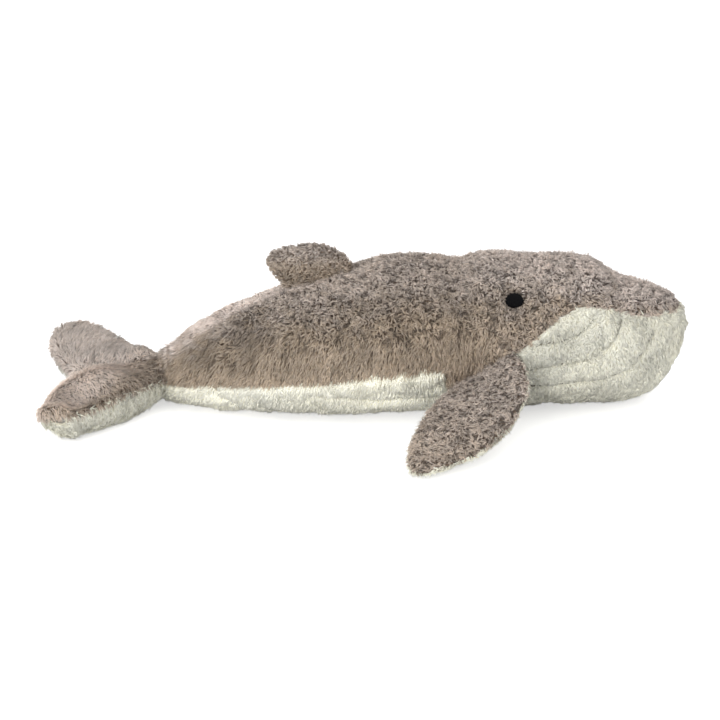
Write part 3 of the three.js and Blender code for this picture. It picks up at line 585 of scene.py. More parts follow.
def swell(grid, normals, held, cell, slack=0.012, cap=2.2):
    """How far each place of a panel moves when the filling presses its slack cloth outwards.

    The panel's border stays sewn, and so does what held() names, from nought to one. The simulated
    net is coarser than the grid. Its movement is capped, in millimetres, and spread over the grid.
    """
    rows, columns = grid.shape[:2]
    lengthways, sideways = (np.linalg.norm(np.diff(grid, axis=axis), axis=-1) for axis in (0, 1))
    # where a panel runs out to a point, its end rows stay as they are
    reach = sideways.sum(1)
    wide = np.flatnonzero(reach > 0.3 * reach.max())
    along = np.r_[0, np.cumsum(np.median(lengthways, axis=1))]
    first, last = along[wide[0]], along[wide[-1]]
    aside = np.r_[0, np.cumsum(np.quantile(sideways, 0.8, axis=0))]
    m, n = max(int((last - first) / cell), 8) + 1, max(int(aside[-1] / cell), 6) + 1
    at_row = np.interp(np.linspace(first, last, m), along, np.arange(rows))
    at_column = np.interp(np.linspace(0, aside[-1], n), aside, np.arange(columns))
    u, v = (a.ravel() for a in np.meshgrid(at_row, at_column, indexing="ij"))
    net, out = sample_grid(grid, u, v), sample_grid(normals, u, v)
    faces, _ = grid_faces(net.reshape(m, n, 3), out.reshape(m, n, 3))
    border = np.ones((m, n), bool)
    border[1:-1, 1:-1] = False
    sewn = np.where(border.ravel(), 1, held(net))

    obj = mesh_object("net", net, faces)
    group = obj.vertex_groups.new(name="sewn")
    for i, weight in enumerate(sewn):
        group.add([i], float(weight), "REPLACE")
    cloth = obj.modifiers.new("cloth", "CLOTH")
    for key, value in CLOTH_SETTINGS.items():
        setattr(cloth.settings, key, value)
    cloth.settings.vertex_group_mass = "sewn"
    cloth.settings.shrink_min = -slack
    cloth.settings.effector_weights.gravity = 0
    cloth.collision_settings.use_collision = False
    scene = bpy.context.scene
    for tick in range(1, CLOTH_FRAMES + 1):
        scene.frame_set(tick)
    moved = vectors(obj.evaluated_get(bpy.context.evaluated_depsgraph_get()).data, "co")
    mesh = obj.data
    bpy.data.objects.remove(obj, do_unlink=True)
    bpy.data.meshes.remove(mesh)
    scene.frame_set(1)

    move = moved / MM - SHIFT - net
    move = move * np.minimum(1, cap / np.maximum(np.linalg.norm(move, axis=1), 1e-6))[:, None]
    u, v = np.meshgrid(np.interp(np.arange(rows), at_row, np.arange(m)),
                       np.interp(np.arange(columns), at_column, np.arange(n)), indexing="ij")
    return sample_grid(move.reshape(m, n, 3), u.ravel(), v.ravel()).reshape(grid.shape)


# ---------------------------------------------------------------- pile
# A strand's root, bend and tip: how far each has risen, run along and swung aside,
# how far it keeps the lock's spread, and how thick the first two are.
RISE = np.array([0.0, 0.74, 1.0])
RUN = np.array([0.0, 0.3, 1.0])
BEND = np.array([0.0, 0.12, 0.85])
ALONG = np.array([0.0, 0.52, 1.0])
GIRTH = np.array([0.85, 1.0])
STRAND_WIDE, STRAND_FLAT = 1.25, 0.75
STRAY_SHARE = 0.06


def scatter(grid, gap, rng):
    """Fractional rows and columns of points spread evenly over a grid."""
    rows, columns = grid.shape[:2]
    along = np.r_[0, np.cumsum(np.median(np.linalg.norm(np.diff(grid, axis=0), axis=-1), axis=1))]
    count = max(int(along[-1] / (gap * 0.93)), 2)
    stations = np.interp((np.arange(count) + 0.5) / count * along[-1], along, np.arange(rows))
    spreads = np.gradient(stations) if count > 2 else np.full(count, 1.0)
    us, vs = [], []
    for station, spread in zip(stations, spreads):
        i = min(int(station), rows - 2)
        f = station - i
        length = lengths_along(grid[i] * (1 - f) + grid[i + 1] * f)
        n = int(length[-1] / gap + rng.random())
        if n < 1:
            continue
        at = (np.arange(n) + rng.random() + 0.75 * (rng.random(n) - 0.5)) / n * length[-1]
        vs.append(np.interp(np.mod(at, length[-1]), length, np.arange(columns)))
        us.append(station + (rng.random(n) - 0.5) * spread * 0.9)
    return np.clip(np.concatenate(us), 0, rows - 1), np.clip(np.concatenate(vs), 0, columns - 1)


def locks(root, normal, way, height, run, bend, droop, look, rng):
    """The strands of locks: their three points, their sideways ways, their girths and their locks."""
    n = len(root)
    across = np.cross(normal, way)
    girth, spread = 0.23 * look["girth"] * LOCK_GAP, 0.42 * LOCK_GAP
    point, thick = [], []
    for s in range(STRANDS_PER_LOCK):
        angle = (2 * np.pi * (s / STRANDS_PER_LOCK + 0.18 * rng.random(n))
                 + rng.random(n) * 6.28 / STRANDS_PER_LOCK)
        radius = spread * np.sqrt(0.25 + 0.75 * rng.random(n))
        ox, oy = 2.1 * radius * np.cos(angle), 0.62 * radius * np.sin(angle)
        stray = np.where(rng.random(n) < STRAY_SHARE, 0.4 + 0.6 * rng.random(n), 0.0)
        h = height * (0.86 + 0.28 * rng.random(n)) * (1 + look["fringe"] * stray)
        l = run * (0.8 + 0.4 * rng.random(n))
        b = bend + 0.25 * (rng.random(n) - 0.5)
        rise = RISE[None, :] * h[:, None]
        rise[:, 1] -= 0.24 * look["lay"] * h
        rise[:, -1] -= droop * h
        ahead = RUN[None, :] * l[:, None] + ox[:, None] * (1 - 0.3 * ALONG)[None, :]
        aside = BEND[None, :] * (b * l)[:, None] + oy[:, None] * (1 - 0.35 * ALONG)[None, :]
        point.append(root[:, None, :] + normal[:, None, :] * (rise - 0.35)[..., None]
                     + way[:, None, :] * ahead[..., None] + across[:, None, :] * aside[..., None])
        thick.append(girth * (0.85 + 0.3 * rng.random(n)) * (1 - 0.4 * stray))
    return (np.concatenate(point), np.tile(across, (STRANDS_PER_LOCK, 1)), np.concatenate(thick),
            np.tile(np.arange(n), STRANDS_PER_LOCK))


def strand_mesh(name, point, side, thick, values):
    """Tapered three-sided strands, each with its own field of the map that holds its colours."""
    n = len(point)
    tangent = unit(np.gradient(point, axis=1))
    e1 = unit(side[:, None, :] - np.sum(side[:, None, :] * tangent, -1, keepdims=True) * tangent)
    e2 = np.cross(tangent, e1)
    rings = []
    for k in range(2):
        for j in range(3):
            a = 2 * np.pi * j / 3 + np.pi / 2
            rings.append(point[:, k] + (thick * GIRTH[k])[:, None] * (
                STRAND_WIDE * math.cos(a) * e1[:, k] - STRAND_FLAT * math.sin(a) * e2[:, k]))
    vertices = np.stack(rings + [point[:, 2]], axis=1)
    vertices[..., 2] = np.maximum(vertices[..., 2], STRAND_LOWEST)
    # the three sides of the shaft, and the three of the point
    quads, tris, quad_uv, tri_uv = [], [], [], []
    for j in range(3):
        m = (j + 1) % 3
        quads.append([j, m, 3 + m, 3 + j])
        quad_uv.append([(j, 0), (j + 1, 0), (j + 1, 1), (j, 1)])
        tris.append([3 + j, 3 + m, 6])
        tri_uv.append([(j, 1), (j + 1, 1), (j + 0.5, 2)])
    base = (np.arange(n) * 7)[:, None, None]
    tables = [(base + np.array(t)[None]).reshape(-1, len(t[0])) for t in (quads, tris)]
    obj = mesh_object(name, vertices.reshape(-1, 3), tables)
    cells = int(math.ceil(math.sqrt(n)))
    corner = np.stack([np.arange(n) % cells, np.arange(n) // cells], -1)[:, None, None, :]
    uv = []
    for table in (quad_uv, tri_uv):
        local = np.array(table, float) / np.array([3, 2]) * 0.84 + 0.08
        uv.append(((corner + local[None]) / cells).reshape(-1, 2))
    layer = obj.data.uv_layers.new(name="OFBake")
    layer.data.foreach_set("uv", np.concatenate(uv).astype(np.float32).ravel())
    set_values(obj, "rise", np.tile(np.repeat(np.array([0, 0.6, 1.0]), [3, 3, 1]), n))
    for key, value in values.items():
        set_values(obj, key, np.repeat(value, 7))
    return obj


def furrow_field(points, nap, curl, seed):
    """Nought along the furrows between curls. Combed pile has long furrows, curled pile winding ones."""
    comb = unit(nap)
    winding = noise(points, 2.4, seed) + 0.45 * noise(points, 1.4, seed + 1)
    stretched = points - 0.75 * np.sum(points * comb, -1, keepdims=True) * comb
    combed = noise(stretched, 1.5, seed + 2) + 0.45 * noise(stretched, 3.4, seed + 3)
    return curl * winding + (1 - curl) * combed


def along_furrows(points, normal, nap, curl, seed):
    """The way that the furrows run at each point."""
    step = 0.3
    slope = np.stack([furrow_field(points + step * e, nap, curl, seed)
                      - furrow_field(points - step * e, nap, curl, seed) for e in np.eye(3)], -1)
    way = unit(np.cross(normal, slope))
    return way * np.where(np.sum(way * nap, -1) < 0, -1.0, 1.0)[:, None]


def pile(name, grid, normals, style, body, material, seed, blend=None):
    """Covers a grid with locks of pile."""
    rng = np.random.default_rng(seed)
    u, v = scatter(grid, LOCK_GAP, rng)
    root, normal = sample_grid(grid, u, v), unit(sample_grid(normals, u, v))
    look = style(root, normal)
    keep = look["keep"] > rng.random(len(root))
    root, normal = root[keep], normal[keep]
    look = {key: value[keep] if np.ndim(value) else value for key, value in look.items()}
    n = len(root)
    nap, curl = look["nap"], np.broadcast_to(look["curl"], n)
    field = furrow_field(root, nap, curl, seed + 40)
    furrow = np.exp(-(field / (0.15 + 0.08 * curl)) ** 2) * look["furrows"]
    # combed pile lies along the nap, curled pile winds along the furrows
    curled_way = (along_furrows(root, normal, nap, curl, seed + 40)
                  + noise_vector(root, 5.5, seed + 11) * 1.1 + rng.normal(size=root.shape) * 0.35)
    way = (unit(nap) * (1 - curl[:, None]) + curl[:, None] * curled_way
           + 0.14 * rng.normal(size=root.shape))
    way = unit(way - np.sum(way * normal, -1, keepdims=True) * normal)
    height = look["height"] * (0.86 + 0.2 * rng.random(n)) * (1 - (0.5 + 0.24 * curl) * furrow)
    run = (4.3 * (1 - curl) + 2.3 * curl) * look["size"] * (0.85 + 0.3 * rng.random(n))
    bend = (0.18 + 1.0 * curl) * rng.normal(size=n) * 0.75
    droop = 0.04 + 0.2 * curl * rng.random(n)
    point, side, thick, index = locks(root, normal, way, height, run, bend, droop, look, rng)
    uneven = 0.28 + 0.22 * curl
    tone = 0.5 + uneven * np.clip(0.5 * noise(root, 2.4, seed + 31) + 0.45 * rng.normal(size=n), -1, 1)
    # strands in the furrows between curls are painted darker: painted shade in the gaps
    values = {"tone": tone[index], "warmth": np.clip(look["warmth"] + 0.1 * rng.normal(size=n), 0, 1)[index],
              "shade": (look["shade"] * (1 - look["furrow_dark"] * furrow))[index]}
    order = np.argsort(root[index, 0], kind="stable")
    count = max(1, math.ceil(len(order) / STRANDS_PER_PIECE))
    for k, part in enumerate(np.array_split(order, count)):
        piece = strand_mesh(f"{name}_{k + 1}" if count > 1 else name, point[part], side[part], thick[part],
                            {key: value[part] for key, value in values.items()})
        piece.data.materials.append(material)
        carry(piece, body, blend)


# ---------------------------------------------------------------- materials
def srgb(*values):
    """A colour from its values on a screen, 0 to 255."""
    shares = [v / 255 for v in values]
    return (*(c / 12.92 if c <= 0.04045 else ((c + 0.055) / 1.055) ** 2.4 for c in shares), 1.0)


def nodes_of(name):
    material = bpy.data.materials.new(name)
    material.use_nodes = True
    return material, material.node_tree, material.node_tree.nodes["Principled BSDF"]


def attribute(tree, name):
    node = tree.nodes.new("ShaderNodeAttribute")
    node.attribute_name = name
    return node.outputs["Fac"]


def ramp(tree, value, stops):
    node = tree.nodes.new("ShaderNodeValToRGB")
    node.color_ramp.interpolation = "EASE"
    while len(node.color_ramp.elements) < len(stops):
        node.color_ramp.elements.new(0.5)
    for element, (at, colour) in zip(node.color_ramp.elements, stops):
        element.position = at
        element.color = colour
    tree.links.new(value, node.inputs["Fac"])
    return node.outputs["Color"]


def greys(tree, value, *stops):
    """A ramp of greys."""
    return ramp(tree, value, [(at, (v, v, v, 1.0)) for at, v in stops])


def mix(tree, kind, factor, a, b):
    node = tree.nodes.new("ShaderNodeMix")
    node.data_type = "RGBA"
    node.blend_type = kind
    for socket, value in ((node.inputs["Factor"], factor), (node.inputs[6], a), (node.inputs[7], b)):
        if isinstance(value, (int, float, tuple)):
            socket.default_value = value
        else:
            tree.links.new(value, socket)
    return node.outputs[2]


def noise_node(tree, scale, detail=2.0):
    place = tree.nodes.new("ShaderNodeTexCoord")
    node = tree.nodes.new("ShaderNodeTexNoise")
    node.inputs["Scale"].default_value = scale
    node.inputs["Detail"].default_value = detail
    tree.links.new(place.outputs["Object"], node.inputs["Vector"])
    return node.outputs["Fac"]


def wave_node(tree, scale, distortion, direction="X"):
    """Fine wavy bands, as of yarn."""
    place = tree.nodes.new("ShaderNodeTexCoord")
    node = tree.nodes.new("ShaderNodeTexWave")
    node.bands_direction = direction
    node.inputs["Scale"].default_value = scale
    node.inputs["Distortion"].default_value = distortion
    tree.links.new(place.outputs["Object"], node.inputs["Vector"])
    return node


def surface(tree, shader, colour, rough, specular, height, strength, distance):
    """Joins colour, roughness and a bump of that height to a shader."""
    tree.links.new(colour, shader.inputs["Base Color"])
    tree.links.new(rough, shader.inputs["Roughness"])
    shader.inputs["Specular IOR Level"].default_value = specular
    node = tree.nodes.new("ShaderNodeBump")
    node.inputs["Strength"].default_value = strength
    node.inputs["Distance"].default_value = distance
    tree.links.new(height, node.inputs["Height"])
    tree.links.new(node.outputs["Normal"], shader.inputs["Normal"])


def pile_material(name, cool, warm, spread, sheen_tint):
    """Strands of pile: painted darker at their roots, as shade deep in the pile, lighter at their tips, each
    lock a little different.
    """
    material, tree, shader = nodes_of(name)
    rise, tone = attribute(tree, "rise"), attribute(tree, "tone")
    # each ramp runs root, middle, tip; its dark root colour is painted shade
    along = [ramp(tree, rise, list(zip((0.0, 0.45, 1.0), colours))) for colours in (cool, warm)]
    colour = mix(tree, "MIX", attribute(tree, "warmth"), *along)
    light = greys(tree, tone, (0.0, 1 - spread), (0.5, 1.0), (1.0, 1 + spread * 0.6))
    patch = greys(tree, noise_node(tree, 55.0), (0.3, 0.86), (0.7, 1.08))
    # the shade values paint light and shade into the colour, along with some uneven tone
    for factor in (light, patch, attribute(tree, "shade")):
        colour = mix(tree, "MULTIPLY", 1.0, colour, factor)
    rough = greys(tree, tone, (0.0, 0.95), (1.0, 0.78))
    shader.inputs["Sheen Weight"].default_value = 0.1
    shader.inputs["Sheen Roughness"].default_value = 0.5
    shader.inputs["Sheen Tint"].default_value = sheen_tint
    surface(tree, shader, colour, rough, 0.25, noise_node(tree, 2600.0), 0.35, 0.0002)
    return material


def cloth_material(name, dark, light):
    """Knitted backing cloth under the pile."""
    material, tree, shader = nodes_of(name)
    wave = wave_node(tree, 260.0, 2.0)
    knit = mix(tree, "MULTIPLY", 1.0, wave.outputs["Color"], noise_node(tree, 900.0, 3.0))
    colour = ramp(tree, knit, [(0.0, dark), (0.8, light)])
    rough = greys(tree, noise_node(tree, 300.0), (0.0, 0.85), (1.0, 1.0))
    surface(tree, shader, colour, rough, 0.15, wave.outputs["Fac"], 0.5, 0.0003)
    return material


def thread_material(name, dark, light):
    """Dull twisted thread."""
    material, tree, shader = nodes_of(name)
    wave = wave_node(tree, 900.0, 1.5, "DIAGONAL")
    colour = ramp(tree, wave.outputs["Fac"], [(0.0, dark), (1.0, light)])
    rough = greys(tree, noise_node(tree, 700.0), (0.0, 0.75), (1.0, 0.95))
    surface(tree, shader, colour, rough, 0.12, wave.outputs["Fac"], 0.5, 0.0001)
    return material


GREY_PILE = pile_material(
    "grey_pile",
    cool=[srgb(120, 106, 95), srgb(186, 174, 166), srgb(222, 211, 203)],
    warm=[srgb(112, 95, 77), srgb(174, 155, 133), srgb(212, 193, 170)],
    spread=0.42, sheen_tint=srgb(225, 215, 208))
CREAM_PILE = pile_material(
    "cream_pile",
    cool=[srgb(236, 233, 215), srgb(246, 244, 229), srgb(252, 251, 240)],
    warm=[srgb(234, 229, 208), srgb(246, 242, 222), srgb(252, 249, 233)],
    spread=0.1, sheen_tint=srgb(250, 250, 245))
GREY_CLOTH = cloth_material("grey_backing", srgb(112, 97, 84), srgb(144, 128, 113))
CREAM_CLOTH = cloth_material("cream_backing", srgb(222, 218, 200), srgb(242, 239, 224))
FILLING = cloth_material("loose_filling", srgb(214, 212, 206), srgb(240, 239, 234))
BLACK_THREAD = thread_material("black_embroidery", srgb(4, 4, 5), srgb(13, 13, 15))
# The pleats' stitching, coloured dark grey: painted shade of the grooves it lies in
GROOVE_SHADED_THREAD = thread_material("groove_shaded_stitching", srgb(112, 108, 94), srgb(146, 142, 127))


# ---------------------------------------------------------------- panels
def panel(prefix, node, body, grid, normals, grey, style, seed, thickness, fill, blend=None):
    """The cloth of a panel and the pile that stands on it."""
    cloth = cloth_shell(f"{prefix}_cloth", grid, normals, thickness)
    keep_skin(body, grid, normals)
    cloth.data.materials.append(GREY_CLOTH if grey else CREAM_CLOTH)
    carry(cloth, body, blend)
    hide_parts(node)
    pile(f"{prefix}_pile", grid, normals, style, body, GREY_PILE if grey else CREAM_PILE, seed, blend)


def pressed_flat(height, root, normal, facing, gap, least):
    """Pile on cloth that faces down is no taller than the room above the floor."""
    room = np.maximum(root[:, 2] - gap, least)
    return np.where(normal[:, 2] < facing, np.minimum(height, room), height)


# ---------------------------------------------------------------- torso
BACK_FIN_SEAM = np.stack([side[0] for side in back_fin_edges(np.array([0.12]))])
SHARES = np.unique(np.concatenate([
    np.linspace(-0.013, 1.0, 262), np.linspace(0.515, 0.535, 9), np.linspace(0.97, 1.0, 14),
    np.linspace(1.0, 1.0 + SNOUT_CAP, 6)]))
FLANK_COLUMNS, BELLY_COLUMNS = 56, 104
FLANK_END_REACH = 3.0                     # how short a flank's section may be at the snout
TORSO_NET, LIMB_NET = 5.5, 3.0            # the cells of the simulated nets


def torso_grid(side):
    """The outer surface of a flank, or of the belly panel where side is None."""
    share = SHARES[:, None]
    inside = np.minimum(share, 1)
    seam = lift_at_height(inside, seam_height(inside))
    if side is None:
        t = np.linspace(-1, 1, BELLY_COLUMNS)[None, :]
        lift = -np.pi / 2 + np.abs(t) * (seam + np.pi / 2)
        return body_point(share + 0 * t, lift, np.where(t < 0, -1.0, 1.0) + 0 * lift)
    t = np.linspace(0, 1, FLANK_COLUMNS)[None, :]
    lift = seam + t * (np.pi / 2 - seam)
    outer = body_point(share + 0 * t, lift, side + 0 * lift)
    # the flank runs out to nothing just short of the snout's end
    reach = np.linalg.norm(np.diff(outer, axis=1), axis=-1).sum(1)
    return outer[:np.flatnonzero(reach > FLANK_END_REACH)[-1] + 1]


def torso_held(points):
    """Where the body's cloth is held: at pleats, eyes, fins, the band, the waist and the floor."""
    right = folded(points)
    near = [d / 3.0 for d in pleat_distances(points)]
    near += [np.linalg.norm(right - EYE_POINT, axis=-1) / 8, line_distance(right, FIN_ROOT) / 7,
             line_distance(points, BACK_FIN_SEAM) / 6, line_distance(right, BAND_LINE) / 3]
    held = np.exp(-np.min(np.stack(near), axis=0) ** 2)
    held = np.maximum(held, smoothstep(-104, -109, points[..., 0]))
    return np.maximum(held, smoothstep(4.5, 2.5, points[..., 2]))


def dress_torso_grid(grid, outwards, pile_depth):
    """Adds folds and seams to the outer surface and draws it in to the cloth, and lets that swell."""
    normals = grid_normals(grid, outwards)
    depth = pile_depth * (1 - 0.35 * np.exp(-grid[..., 2] / 4.0) * (normals[..., 2] < 0))
    skin = grid + normals * (body_relief(grid) - depth)[..., None]
    skin = skin + swell(skin, normals, torso_held, TORSO_NET)
    skin[..., 2] = np.maximum(skin[..., 2], SKIN_LOWEST)
    return skin, grid_normals(skin, outwards)


def torso_look(root, normal, keep, height, **look):
    """Adds what both piles share: the nap, the eye's place, the snout's end and the floor."""
    x = root[:, 0]
    lean = 0.24 + 0.5 * smoothstep(-35, -105, x) - 0.16 * smoothstep(15, 45, x)
    nap = np.stack([-lean, 0 * x, -1 + 0 * x], -1)
    eye = np.linalg.norm(folded(root) - EYE_POINT, axis=1)
    height = height * (0.75 + 0.25 * smoothstep(4, 9, eye)) * (1 - 0.5 * smoothstep(188.5, 190.5, x))
    height = pressed_flat(height, root, normal, -0.55, 0.4, 0.6)
    return dict(nap=nap, keep=np.where(eye < 4.3, 0.0, keep), height=height, **look)


def thinned_below(root, normal):
    """How much of the pile is kept: less where the belly rests."""
    return np.where((root[:, 2] < 2.6) & (normal[:, 2] < -0.9), 0.45, 1.0)


def flank_style(root, normal):
    """Grey pile: combed down the flank, curled along the back, round the head and over the tail."""
    x, y, z = root.T
    upright, seam, crease = normal[:, 2], seam_distance(root), waist_crease(root)
    head = smoothstep(55, 85, x)
    curl = 0.08 + 0.77 * smoothstep(44, 62, z + 6 * noise(root, 22.0, 3))
    curl = np.maximum(curl, 0.75 * head)
    curl = np.maximum(curl, 0.6 * bell(x + 76, 9) * smoothstep(30, 38, z))
    curl = np.minimum(curl, 0.25 + 0.75 * smoothstep(-100, -80, x))
    # cooler where the pile faces up, painted with the light from above; cooler on the head and the snout
    warmth = 0.9 - 0.7 * smoothstep(0.45, 0.98, upright) - 0.2 * head - 0.3 * smoothstep(110, 140, x)
    height = (GREY_PILE_DEPTH + 0.1) * (0.7 + 0.3 * smoothstep(0.3, 2.5, seam))
    # uneven tone with painted light: lighter where the pile faces up, as light from above falls, darker where
    # it faces only half up; also lighter low on the flank, along the seam, on the snout and the head, and
    # darker on the tail's near side and high on the flank
    shade = (1.0 + 0.09 * noise(root, 15.0, 41) + 0.1 * curl + 0.06 * noise(root, 6.5, 43)
             - 0.12 * smoothstep(0.1, 0.6, upright) + 0.28 * smoothstep(0.72, 1.0, upright)
             + 0.17 * smoothstep(95, 130, x) + 0.03 * (1 - head) * smoothstep(30, 20, z) + 0.05 * head
             - 0.25 * smoothstep(-50, -70, x) * smoothstep(26, 36, z) * smoothstep(-8, -20, y)
             - 0.05 * (1 - head) * smoothstep(40, 55, z) + 0.1 * smoothstep(14, 2, seam) * (1 - head))
    # beyond the ridge over the tail, and in the neck's hollow, the pile catches the light
    beyond = smoothstep(-14, -6, y)
    tail = smoothstep(-118, -105, x) * (1 - smoothstep(-60, -30, x))
    neck = bell(x - NECK_X, 12) * smoothstep(40, 50, z)
    shade = shade + 0.42 * beyond * np.maximum(tail, 0.4 * neck)
    # in the shadow of the fins' seams and in the waist's creases it is darker
    side_root, back_root = line_distance(folded(root), FIN_ROOT), line_distance(root, BACK_FIN_SEAM)
    shade = shade * (1 - 0.25 * bell(side_root, 4.5)) * (1 - 0.25 * bell(back_root, 5))
    return torso_look(root, normal, thinned_below(root, normal), height * (1 - 0.6 * crease), curl=curl,
                      warmth=warmth - 0.4 * beyond * tail, size=1.0, girth=1.0,
                      shade=shade * (1 - CREASE_SHADE * crease), furrows=1.0, furrow_dark=0.28 + 0.6 * curl,
                      lay=0.0, fringe=0.8)


def belly_style(root, normal):
    """Cream pile: short and even, parted along the pleats and painted with shade in their grooves."""
    head, seam = smoothstep(55, 85, root[:, 0]), seam_distance(root)
    near = np.min(np.stack(pleat_distances(root)), axis=0)
    band = line_distance(folded(root), BAND_LINE)
    height = ((CREAM_PILE_DEPTH + 0.1) * (0.35 + 0.65 * smoothstep(0.7, 2.4, near))
              * (0.6 + 0.4 * smoothstep(12, 34, root[:, 2])) * (0.6 + 0.4 * smoothstep(0.5, 3.0, seam)))
    # painted shade: the pile darkens towards the pleats' grooves
    shade = 0.3 + 0.7 * smoothstep(0.5, 2.0, near)
    return torso_look(root, normal, np.where(near < 0.7, 0.1, thinned_below(root, normal)), height,
                      curl=0.22 + 0.3 * head, warmth=0.35 + 0.3 * noise(root, 18.0, 17),
                      size=0.95 * (0.4 + 0.6 * smoothstep(1.0, 4.5, np.minimum(near, band))), girth=1.35,
                      # painted shade along the band's groove; painted light: the pile away from the head is
                      # made lighter
                      shade=shade * (1 - BAND_SHADE * bell(band, 1.7)) + 0.17 * (1 - head),
                      furrows=0.3 + 0.6 * head, furrow_dark=0.05 + 0.16 * head, lay=1.0, fringe=1.2)


for word, side, seed in (("right", -1.0, 101), ("left", 1.0, 202)):
    panel(f"flank_{word}", f"flank_panel_{word}", "torso",
          *dress_torso_grid(torso_grid(side), -side, GREY_PILE_DEPTH), True, flank_style, seed,
          CLOTH_THICKNESS, 0.7)
panel("belly", "belly_panel", "torso", *dress_torso_grid(torso_grid(None), -1.0, CREAM_PILE_DEPTH),
      False, belly_style, 303, CLOTH_THICKNESS, 0.7)


# ---------------------------------------------------------------- limbs
def fin_look(root, mirror):
    """Curled pile, swept back and out."""
    return dict(nap=(-0.75, -0.62 * mirror, -0.3), curl=0.72, shade=1.14, size=0.95, furrow_dark=0.75,
                warmth=0.25 + 0.25 * smoothstep(30, 8, root[:, 2]), height=LIMB_PILE + 0.35)


def back_fin_look(root, mirror):
    """Curled pile, warmer in colour at the fin's root."""
    return dict(nap=(-0.8, 0, 0.2), curl=0.65, warmth=0.75 - 0.55 * smoothstep(80, 92, root[:, 2]),
                shade=1.0, size=0.85, furrow_dark=0.5, height=LIMB_PILE + 0.35)


def fluke_look(root, mirror):
    """Pile combed back over both lobes and curled at their roots, the right one lit along its crest."""
    x, y, _ = root.T
    right = y < 0
    out = np.abs(y) / FLUKE_HALF_SPAN
    _, front_back, front_out = np.array(FLUKE_ROWS).T[:3]
    front_x = -FLUKE_REACH * np.interp(out, front_out, front_back)
    frontness = np.clip((x - WAIST_X + 68) / np.maximum(front_x + 68, 4), 0, 1)
    front = smoothstep(0.6, 0.95, frontness)
    edge = np.maximum(front, smoothstep(0.8, 1.0, out))
    crest = smoothstep(0.95, 0.55, frontness)
    # painted light along the right lobe's crest and painted shade in the waist's creases; the left lobe is
    # lighter, darker near the valley at its root
    left_shade = 1.27 - 0.25 * bell(y - 16, 9, x + 150, 22) + 0.08 * noise(root, 9.0, 73)
    shade = np.where(right, 1.08 + 0.4 * crest, left_shade) * (1 - CREASE_SHADE * waist_crease(root))
    return dict(nap=np.stack([np.where(right, 0.55, 0.4), 0.75 * np.sign(y), -0.7 + 0 * x], -1),
                curl=0.06 + 0.5 * (front * smoothstep(0.6, 0.3, out)) + np.where(right, 0.1, 0.3) * edge,
                warmth=np.where(right, 0.15 + 0.45 * edge, 0.05 + 0.2 * edge),
                shade=shade, size=1.15, furrows=np.where(right, 1 - 0.5 * crest, 1.0), furrow_dark=0.55,
                lay=np.where(right, 1.0, 0.3), height=LIMB_PILE)


def limb_style(kind, grey, mirror):
    """The look of a limb's pile. Cream pile is shorter and has fewer furrows."""
    def style(root, normal):
        look = dict(furrows=1.0, lay=0.0, girth=0.95, fringe=0.8, keep=1.0)
        look.update(LIMBS[kind]["look"](root, mirror))
        if not grey:
            look.update(curl=0.45, warmth=0.3, shade=1.08, furrows=0.4, lay=0.8, girth=1.25, furrow_dark=0.05,
                        fringe=0.5, height=look["height"] * 0.75)
        look["height"] = pressed_flat(look["height"], root, normal, -0.5, 0.3, 0.5)
        look["nap"] = np.broadcast_to(look["nap"], root.shape)
        return look
    return style


def fin_held(points):
    return smoothstep(8, 2, np.abs(points[:, 1]) - np.abs(FIN_FRONT_POINT[1]))


def back_fin_held(points):
    return smoothstep(5, 1, points[:, 2] - BACK_FIN_BASE)


def fluke_held(points):
    return np.maximum(bell(points[:, 1], 9), smoothstep(-138, -126, points[:, 0]))


# Each limb's forms, its pile, and its net's rows and columns.
LIMBS = {
    "fin": dict(edges=fin_edges, thickness=pillow(fin_row, FIN_HALF_THICKNESS), first=-0.12,
                length=FIN_REACH + FIN_SWEEP / 2, edge_rise=fin_edge_rise,
                held=fin_held, look=fin_look, size=(80, 44)),
    "back_fin": dict(edges=back_fin_edges, thickness=pillow(back_fin_row, BACK_FIN_HALF_THICKNESS),
                     first=-0.22, length=BACK_FIN_HEIGHT, held=back_fin_held, look=back_fin_look,
                     size=(40, 48)),
    "fluke": dict(edges=fluke_edges, thickness=fluke_thickness, first=-1, length=FLUKE_HALF_SPAN,
                  edge_rise=fluke_edge_rise, seam_drop=fluke_seam_drop, cap=FLUKE_CAP_COLUMNS,
                  held=fluke_held, look=fluke_look, size=(130, 60)),
}


def fluke_folds(grid, side, relief, inside):
    """Adds the valley between the lobes, the waist's creases and the fullness of the upper cloth."""
    x, y = grid[..., 0], grid[..., 1]
    valley = bell(y + 1, 6) * (1 - smoothstep(-150, -128, x))
    relief = relief - (5.0 if side > 0 else 2.5) * valley - FLUKE_CREASE_DIP * waist_crease(grid)
    for amount, across, width, along, length in FLUKE_LUMPS if side > 0 else ():
        relief = relief + inside * amount * bell(y - across, width, x - along, length)
    # the two cloths stay together along their seams
    column = np.arange(grid.shape[1])
    return relief * smoothstep(0, 6, column) * smoothstep(0, 4, column[-1] - column)


def fluke_hang(grid, inside):
    """How far the cream cloth sags towards the floor below the neck, mostly to the right."""
    x, y = grid[..., 0] - FLUKE_HANG_X, grid[..., 1]
    behind = np.maximum(-x, 0)
    along = np.where(x < 0, behind / 30, x / 14)
    return FLUKE_HANG * bell(along, 1, y + 15 + 1.2 * behind, 25) * inside


